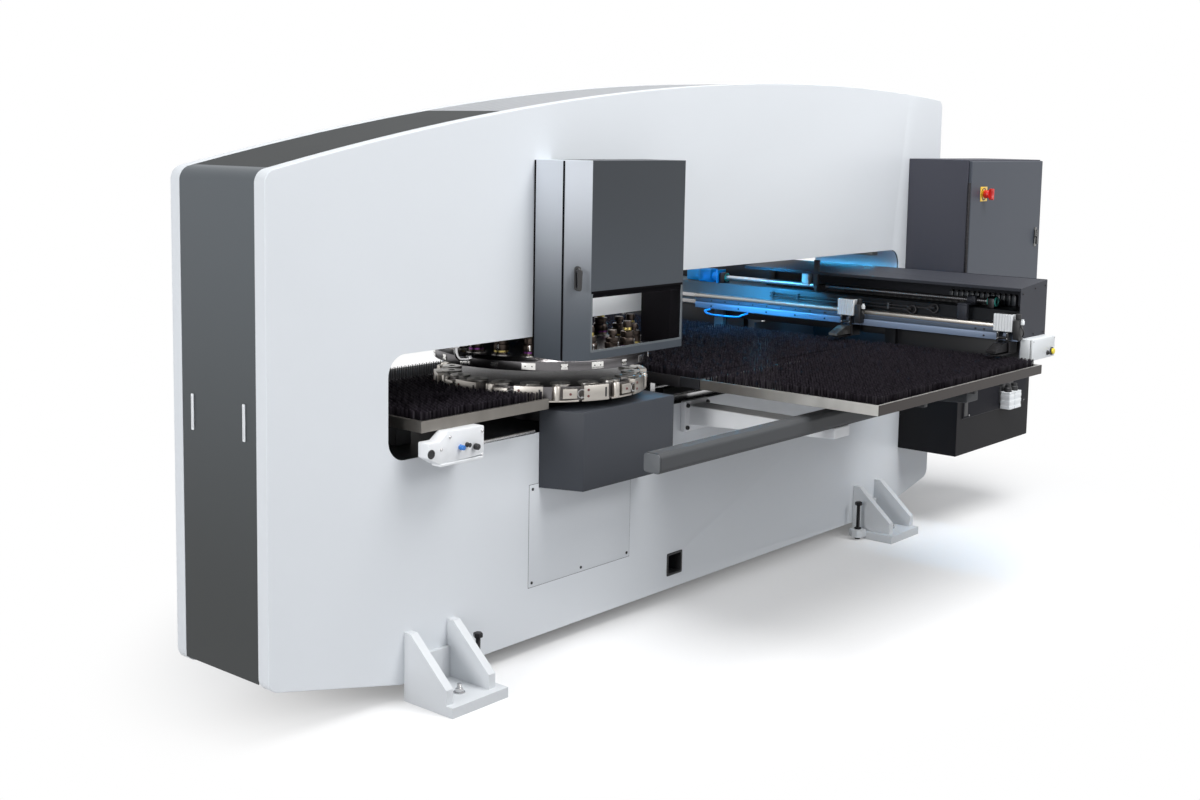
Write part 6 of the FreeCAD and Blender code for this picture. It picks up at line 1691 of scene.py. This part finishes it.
    def button_box(self) -> None:
        """Small box with a lid seam, a collared yellow button and a black key switch."""
        y, left, right, low, high = -1.305, 3.620, 3.875, 1.068, 1.168
        box = slabs(0.004, Y, (left, y + 0.0125, low, right, -1.2432, high), (left, y, low, right, y + 0.0115, high))
        self.swap("box_body", box, "button_box")
        joint = slabs(0.002, Y, (left + 0.002, y + 0.010, low + 0.002, right - 0.002, y + 0.014, high - 0.002))
        self.add("box_seal", joint, "bridge", "knob_black")
        bezel = collar([(0.0190, 0.0), (0.0190, 0.0055), (0.0178, 0.0072), (0.0148, 0.0072), (0.0146, 0.0)], 32)
        self.add("button_bezel", bezel.facing().at(3.835, y + 0.0004, 1.096), "bridge", "knob_black")
        cap = lathe([(0.0132, 0.0064), (0.0139, 0.0070), (0.0139, 0.0125), (0.0125, 0.0152), (0.0070, 0.0159)], 32)
        self.swap("button_cap", cap.facing().at(3.835, y, 1.096), "push_button")
        key = lathe([(0.0115, 0.0), (0.0115, 0.004), (0.0100, 0.006), (0.0072, 0.006), (0.0070, 0.013),
                     (0.0050, 0.0145)], 28)
        self.add("key_switch", key.facing().at(3.790, y + 0.0004, 1.092), "bridge", "knob_black")
        corners = [(station, y + 0.0004, z) for station in (left + 0.010, right - 0.010) for z in (1.078, 1.158)]
        self.add("box_screws", screws(0.0035, 0.0016, corners), "bridge", "bright_steel")


@dataclass
class Clamps(Assembly):
    """Two sheet clamps with grooved air cylinders on the bar.

    Args:
        places: Y of the two clamps.
    """

    places: Pair = (-1.180, -0.330)

    @staticmethod
    def finned(low: Triple, high: Triple) -> Shape:
        """Block with upright grooves in its front: x = front + d (1/2 - cos(2 pi n t) / 2)^3."""
        depth, grooves, corner = 0.0034, 6, 0.004
        t = np.linspace(0.0, 1.0, 61)
        y = low[1] + corner + (high[1] - low[1] - 2 * corner) * t
        x = low[0] + depth * (0.5 - 0.5 * np.cos(2 * np.pi * grooves * t)) ** 3
        outline = np.array([(high[0], high[1]), (high[0], low[1]), (low[0] + corner, low[1]), *zip(x, y),
                            (low[0] + corner, high[1])])
        return column(counterclockwise(outline), [(0.0, low[2]), (0.0, high[2])])

    def linkage(self, y: float) -> list[Shape]:
        """Cheeks, pin, side valve with its knob, and air tube of the clamp at a Y."""
        pin = lathe([(0.007, 0.0), (0.007, 0.062), (0.004, 0.063)], 20).laid(Y)
        knob = lathe([(0.012, 0.0), (0.013, 0.002), (0.013, 0.028), (0.009, 0.031)], 20)
        return [slabs(0.002, Y, (3.556, y - 0.030, 1.160, 3.5985, y - 0.018, 1.206),
                      (3.556, y + 0.018, 1.160, 3.5985, y + 0.030, 1.206)),
                pin.at(3.566, y - 0.031, 1.172),
                slabs(0.004, Z, (3.5525, y - 0.084, 1.168, 3.5985, y - 0.051, 1.262)),
                knob.at(3.576, y - 0.067, 1.260),
                tube([(3.570, y - 0.080, 1.235), (3.560, y - 0.098, 1.222), (3.565, y - 0.102, 1.200),
                      (3.580, y - 0.090, 1.185)], 0.0035, 8, 6)]

    def build(self) -> None:
        """Cylinders, bodies and jaws of both clamps."""
        left, right = along(3.5505), along(3.5996)
        cylinders = [self.finned((left, y - 0.0472, 1.2046), (right, y + 0.0472, 1.2838)) for y in self.places]
        self.swap("air_cylinders", joined(cylinders), "clamp_cylinders")
        caps = [block((left + 0.006, y - 0.040, 1.2835), (right - 0.006, y + 0.040, 1.2862), 0.0012)
                for y in self.places]
        self.add("cylinder_caps", joined(caps), "clamp_bar", "bright_steel")
        linkage = joined([shape for y in self.places for shape in self.linkage(y)])
        self.add("clamp_linkage", linkage, "clamp_bar", "knob_black")
        pads = slabs(0.0003, Z, *((3.452, y - 0.033, 1.0985, 3.50, y + 0.033, 1.0992) for y in self.places))
        self.add("jaw_wear_pads", pads, "clamp_bar", "bright_steel")
        self.shop.softened("clamp_bodies", 0.0015)
        self.shop.softened("clamp_jaw_near", 0.0015)
        # The far jaw takes brighter satin steel than the near one: painted light where the throat's lamps fall on it.
        self.shop.softened("clamp_jaw_far", 0.0015, finish=SATIN_STEEL)
        spots = [(3.5563, y + side, z) for y in self.places for side in (-0.024, 0.024) for z in (1.170, 1.196)]
        self.add("linkage_screws", screws(0.004, 0.003, spots, X), "clamp_bar", "bright_steel")
        nipple = lathe([(0.006, 0.0), (0.009, 0.002), (0.009, 0.018), (0.0065, 0.021), (0.0065, 0.027)], 20)
        ends = joined([nipple.at(3.570, y - 0.092, 1.240) for y in self.places])
        self.add("air_nipples", ends, "clamp_bar", "box_white")


@dataclass
class Throat(Assembly):
    """Fittings inside the throat."""

    def build(self) -> None:
        """Sill behind the bridge, elbow fitting, light bars and liner."""
        sill = slabs(0.0012, Y, (3.606, 0.2550, 0.932, 4.200, 0.2585, 1.105))
        self.add("throat_sill", sill, "frame", "frame_paint", BEAM_DARK)
        elbow = tube([(0.930, -0.20, 1.2995), (0.930, -0.20, 1.262), (0.945, -0.20, 1.238), (0.975, -0.20, 1.232),
                      (1.000, -0.20, 1.232)], 0.008, 14, 8)
        nut = lathe([(0.012, 0.0), (0.0125, 0.002), (0.0125, 0.014), (0.0105, 0.016)], 6)
        fittings = [elbow, nut.at(0.930, -0.20, 1.2795), nut.laid(X).at(0.990, -0.20, 1.232)]
        self.add("air_elbow", joined(fittings), "frame", "bright_steel")
        self.lights()
        self.liner()

    def lights(self) -> None:
        """Light bars on the throat's ceiling: lipped channels with blue diffusers, two lengthwise and one across."""
        half, shrink = 0.40, (0.55, 1.0, 1.0)
        places = [(along(3.34), 0.120, 0.0), (along(3.22), 0.300, 0.030), (along(4.02), 0.0, 0.0)]
        turns = np.array([0.0, 0.0, math.pi / 2])
        lips = [block((-half, y, 1.4765), (half, y + 0.002, 1.5005), 0.0006, X) for y in (-0.031, 0.029)]
        ends = [block((x, -0.030, 1.4765), (x + 0.002, 0.030, 1.5005), 0.0006) for x in (-half, half - 0.002)]
        channel = joined([*lips, *ends, block((-half, -0.030, 1.4985), (half, 0.030, 1.5005), 0.0006, X)])
        glow = block((0.01 - half, -0.0285, 1.4970), (half - 0.01, 0.0285, 1.4992), 0.0006, X)
        for name, shape, slot, finish in (("light_channels", channel, "bright_steel", SATIN_STEEL),
                                          ("light_diffusers", glow, "motor_blue", BLUE_GLOW)):
            bar = Shape(shape.points * shrink, shape.quads, shape.caps)
            self.add(name, bar.repeated(places, turns), "frame", slot, finish)

    def liner(self) -> None:
        """White sheet that lines the throat's ceiling and feed end, a strip of even thickness round the corner."""
        right, top, radius, skin = 4.2035, 1.5015, 0.078, 0.0012
        turn, rims = np.linspace(np.pi / 2, 0, 9), []
        for inset in (0.0, skin):
            bend = radius - inset
            corner = zip(right - radius + bend * np.cos(turn), top - radius + bend * np.sin(turn))
            rims.append([(2.06, top - inset), *corner, (right - inset, 0.935)])
        outline = np.array([(z, along(station)) for station, z in rims[0] + rims[1][::-1]])
        sheet = column(counterclockwise(outline), [(0.0, -0.2545), (0.0, 0.2545)]).laid(Y)
        kick = slabs(0.001, Y, (4.1975, -0.2545, 0.935, 4.2022, 0.2545, 1.175))
        self.add("throat_kick_plate", kick, "frame", "frame_paint", BEAM_DARK)
        self.shop.piece("throat_liner", sheet, "frame", "casting_white", LINER_WHITE, smooth=30.0)


@dataclass
class Cabinet(Assembly):
    """Control cabinet on the feed end: case, door, switch, latch, lower panel and valve.

    Args:
        face: Y of the door's face.
    """

    face: float = -0.6293

    def build(self) -> None:
        """Case and door with soft folds, and their fittings."""
        self.shop.softened("cabinet", 0.003, 3)
        self.shop.softened("cabinet_door", 0.005, 4)
        seal = slabs(0.0003, Z, (4.298, -0.6113, 0.834, 5.162, -0.6107, 1.974))
        self.add("door_seal", seal, "frame", "knob_black")
        self.switch()
        self.latch()
        self.lower_box()

    def switch(self) -> None:
        """Main switch: yellow plate with a raised ring and a red rotary handle with a waisted grip."""
        station, z, y, half = 4.435, 1.811, self.face, 0.0388
        face = slabs(0.0006, Y, (station - half, y - 0.0019, z - half, station + half, y + 0.0002, z + half))
        self.swap("switch_plate", face, "door_plates")
        ring = collar([(0.0325, 0.0), (0.0325, 0.0012), (0.0265, 0.0012), (0.0265, 0.0)], 40)
        self.add("switch_ring", ring.facing().at(station, y - 0.0009, z), "cabinet_door", "knob_black")
        hub = lathe([(0.0048, 0.0032), (0.0048, 0.0065), (0.0205, 0.0068), (0.0219, 0.0085), (0.0219, 0.0260),
                     (0.0195, 0.0335), (0.0100, 0.0338)], 40)
        near = [(-0.0297, -0.0076), (-0.006, -0.0052), (0.006, -0.0052), (0.0297, -0.0076)]
        outline = rounded_outline(near + [(x, -width) for x, width in near[::-1]],
                                  [0.005, 0.01, 0.01, 0.005, 0.005, 0.01, 0.01, 0.005], 5)
        grip = prism(outline, 0.0320, 0.0592, 0.0035)
        self.swap("switch_knob", joined([hub, grip]).facing().at(station, y, z), "switch_handle")

    def latch(self) -> None:
        """Door latch: oblong escutcheon and a swing lever with a lock barrel."""
        station, z, y = 5.115, 1.555, self.face
        shield = slabs(0.0015, Y, (station - 0.0168, y - 0.0019, z - 0.0548, station + 0.0168, y + 0.0002, z + 0.0548))
        self.add("latch_plate", shield, "cabinet_door", "switch_yellow", GLOSS_BLACK)
        hub = lathe([(0.0039, 0.0032), (0.0039, 0.0066), (0.0085, 0.0070), (0.0098, 0.009), (0.0098, 0.0165),
                     (0.0085, 0.0179), (0.003, 0.0174)], 28).facing().at(station, y, z)
        corners = [(station - 0.0098, z - 0.0425), (station + 0.0098, z - 0.0425), (station + 0.0082, z + 0.0425),
                   (station - 0.0082, z + 0.0425)]
        lever = plate(corners, 0.0078, y - 0.0165, y - 0.0068, 0.0028, 6)
        self.swap("latch_swing", joined([hub, lever]), "latch_lever", GLOSS_BLACK)

    def lower_box(self) -> None:
        """Screwed panel in its dark recess, with the air preparation valve, its knobs and its bracket."""
        left, right, low, high, y, edge = 4.340, 5.120, 0.600, 0.790, -0.611, 0.003
        gap = slabs(0.0004, Y, (left - edge, y - 0.0012, low - edge, right + edge, y + 0.0004, high + edge))
        self.add("panel_shadow", gap, "frame", "knob_black")
        panel = plate(rectangle((left, low), (right, high)), 0.004, y - 0.0059, y - 0.001, 0.001)
        self.swap("panel_plate", panel, "lower_panel")
        slot = slabs(0.0004, Y, (4.352, y - 0.0066, low + 0.012, 4.392, y - 0.0054, high - 0.012))
        self.add("panel_slot", slot, "frame", "knob_black")
        places = [(station, y - 0.0056, z) for station in (left + 0.07, right - 0.015)
                  for z in (low + 0.012, high - 0.012)]
        self.add("panel_screws", screws(0.0045, 0.002, places), "frame", "bright_steel")
        start, end, front = 4.786, 4.936, -0.6788
        valve = [ribbed_block((along(first), front, 0.6005), (along(last), -0.6172, 0.6958), 3, 0.0016, 0.008)
                 for first, last in ((start, start + 0.062), (start + 0.068, end))]
        bridge = slabs(0.003, Z, (start + 0.05, front + 0.012, 0.612, start + 0.08, -0.622, 0.684))
        self.swap("air_valve_bodies", joined([*valve, bridge]), "air_valve")
        top = lathe([(0.020, 0.0), (0.022, 0.002), (0.022, 0.022), (0.017, 0.026), (0.017, 0.040), (0.012, 0.043)], 28)
        knobs = joined([top.at(start + reach, -0.648, 0.6955) for reach in (0.031, 0.109)])
        self.add("air_valve_knobs", knobs, "frame", "knob_black")
        bracket = slabs(0.001, Z, (start - 0.012, -0.6200, 0.630, end + 0.012, -0.6165, 0.740))
        self.add("air_valve_bracket", bracket, "frame", "knob_black")


@dataclass
class AirUnit(Assembly):
    """Air cylinder unit under the left table.

    Args:
        face: Y of the block's face.
    """

    face: float = -0.391

    def on_face(self, station: float, z: float, *shapes: Shape) -> Shape:
        """Shapes that stand on the block's face towards the operator."""
        return joined(shapes).facing().at(station, self.face + 0.0004, z)

    def build(self) -> None:
        """Cast block, port, blue fitting, stem, knob and the rod."""
        plan = [(0.610, 0.930), (0.662, 0.900), (0.890, 0.906), (0.890, 1.0145), (0.705, 1.0145), (0.665, 0.985),
                (0.610, 0.985)]
        ledge = slabs(0.0015, Y, (0.668, self.face - 0.0035, 0.8915, 0.884, -0.345, 0.9015))
        self.swap("air_block", joined([plate(plan, 0.005, self.face, -0.335, 0.003), ledge]), "air_unit")
        port = collar([(0.0170, 0.0), (0.0170, 0.0025), (0.0160, 0.0033), (0.0120, 0.0033), (0.0105, 0.0)], 32)
        hole = lathe([(0.0112, 0.0), (0.0112, 0.0008)], 24)
        self.add("air_port", self.on_face(0.622, 0.945, port, hole), "frame", "knob_black")
        nut = column(even_polygon(0.0108, 6), [(0.001, 0.0), (0.0, 0.001), (0.0, 0.008), (0.001, 0.009)])
        nose = lathe([(0.0088, 0.008), (0.0092, 0.010), (0.0092, 0.020), (0.0075, 0.0222), (0.004, 0.0222)], 24)
        self.add("air_fitting", self.on_face(0.767, 0.950, nut, nose), "frame", "motor_blue", FITTING_BLUE)
        stem = lathe([(0.0090, 0.0), (0.0090, 0.006), (0.0070, 0.008), (0.0070, 0.016), (0.0085, 0.0178),
                      (0.004, 0.018)], 24)
        self.add("air_stem", self.on_face(0.800, 0.955, stem), "frame", "knob_black")
        turn = circle(48)
        flute = 0.0113 + 0.0006 * np.cos(12 * turn)
        outline = np.stack([flute * np.cos(turn), flute * np.sin(turn)], 1)
        knob = column(outline, [(0.001, 0.0045), (0.0, 0.006), (0.0, 0.0215), (0.0025, 0.0239)])
        pin = lathe([(0.0019, 0.0008), (0.0019, 0.006)], 14)
        self.swap("air_knob", self.on_face(0.840, 0.943, knob, pin), "air_unit_knob")
        rod = lathe([(0.0060, 0.0), (0.0088, 0.002), (0.0088, 0.020), (0.0078, 0.022), (0.0078, 0.296),
                     (0.0066, 0.298)], 24)
        self.add("air_rod", rod.laid(X).at(0.8975, -0.363, 0.943), "frame", "bright_steel")
        bolts = joined([hexagon_bolt(0.005, 0.004).facing().at(station, self.face, z)
                        for station, z in ((0.715, 0.995), (0.880, 0.995), (0.880, 0.905), (0.672, 0.955))])
        self.add("air_block_screws", bolts, "frame", "bright_steel")


def main() -> None:
    """Build the scene, sub-assembly by sub-assembly."""
    logging.basicConfig(level=logging.INFO, format="%(name)s %(message)s")
    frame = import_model()
    shop = Workshop(frame)
    Studio().build()
    shop.dress_nodes()
    for kind in (Casing, Feet, HeadGuard, Turret, BrushTable, GuideBeam, Bridge, Clamps, Throat, Cabinet, AirUnit):
        kind(shop).build()
        LOG.info("built %s", kind.__name__)


if __name__ == "__main__":
    main()
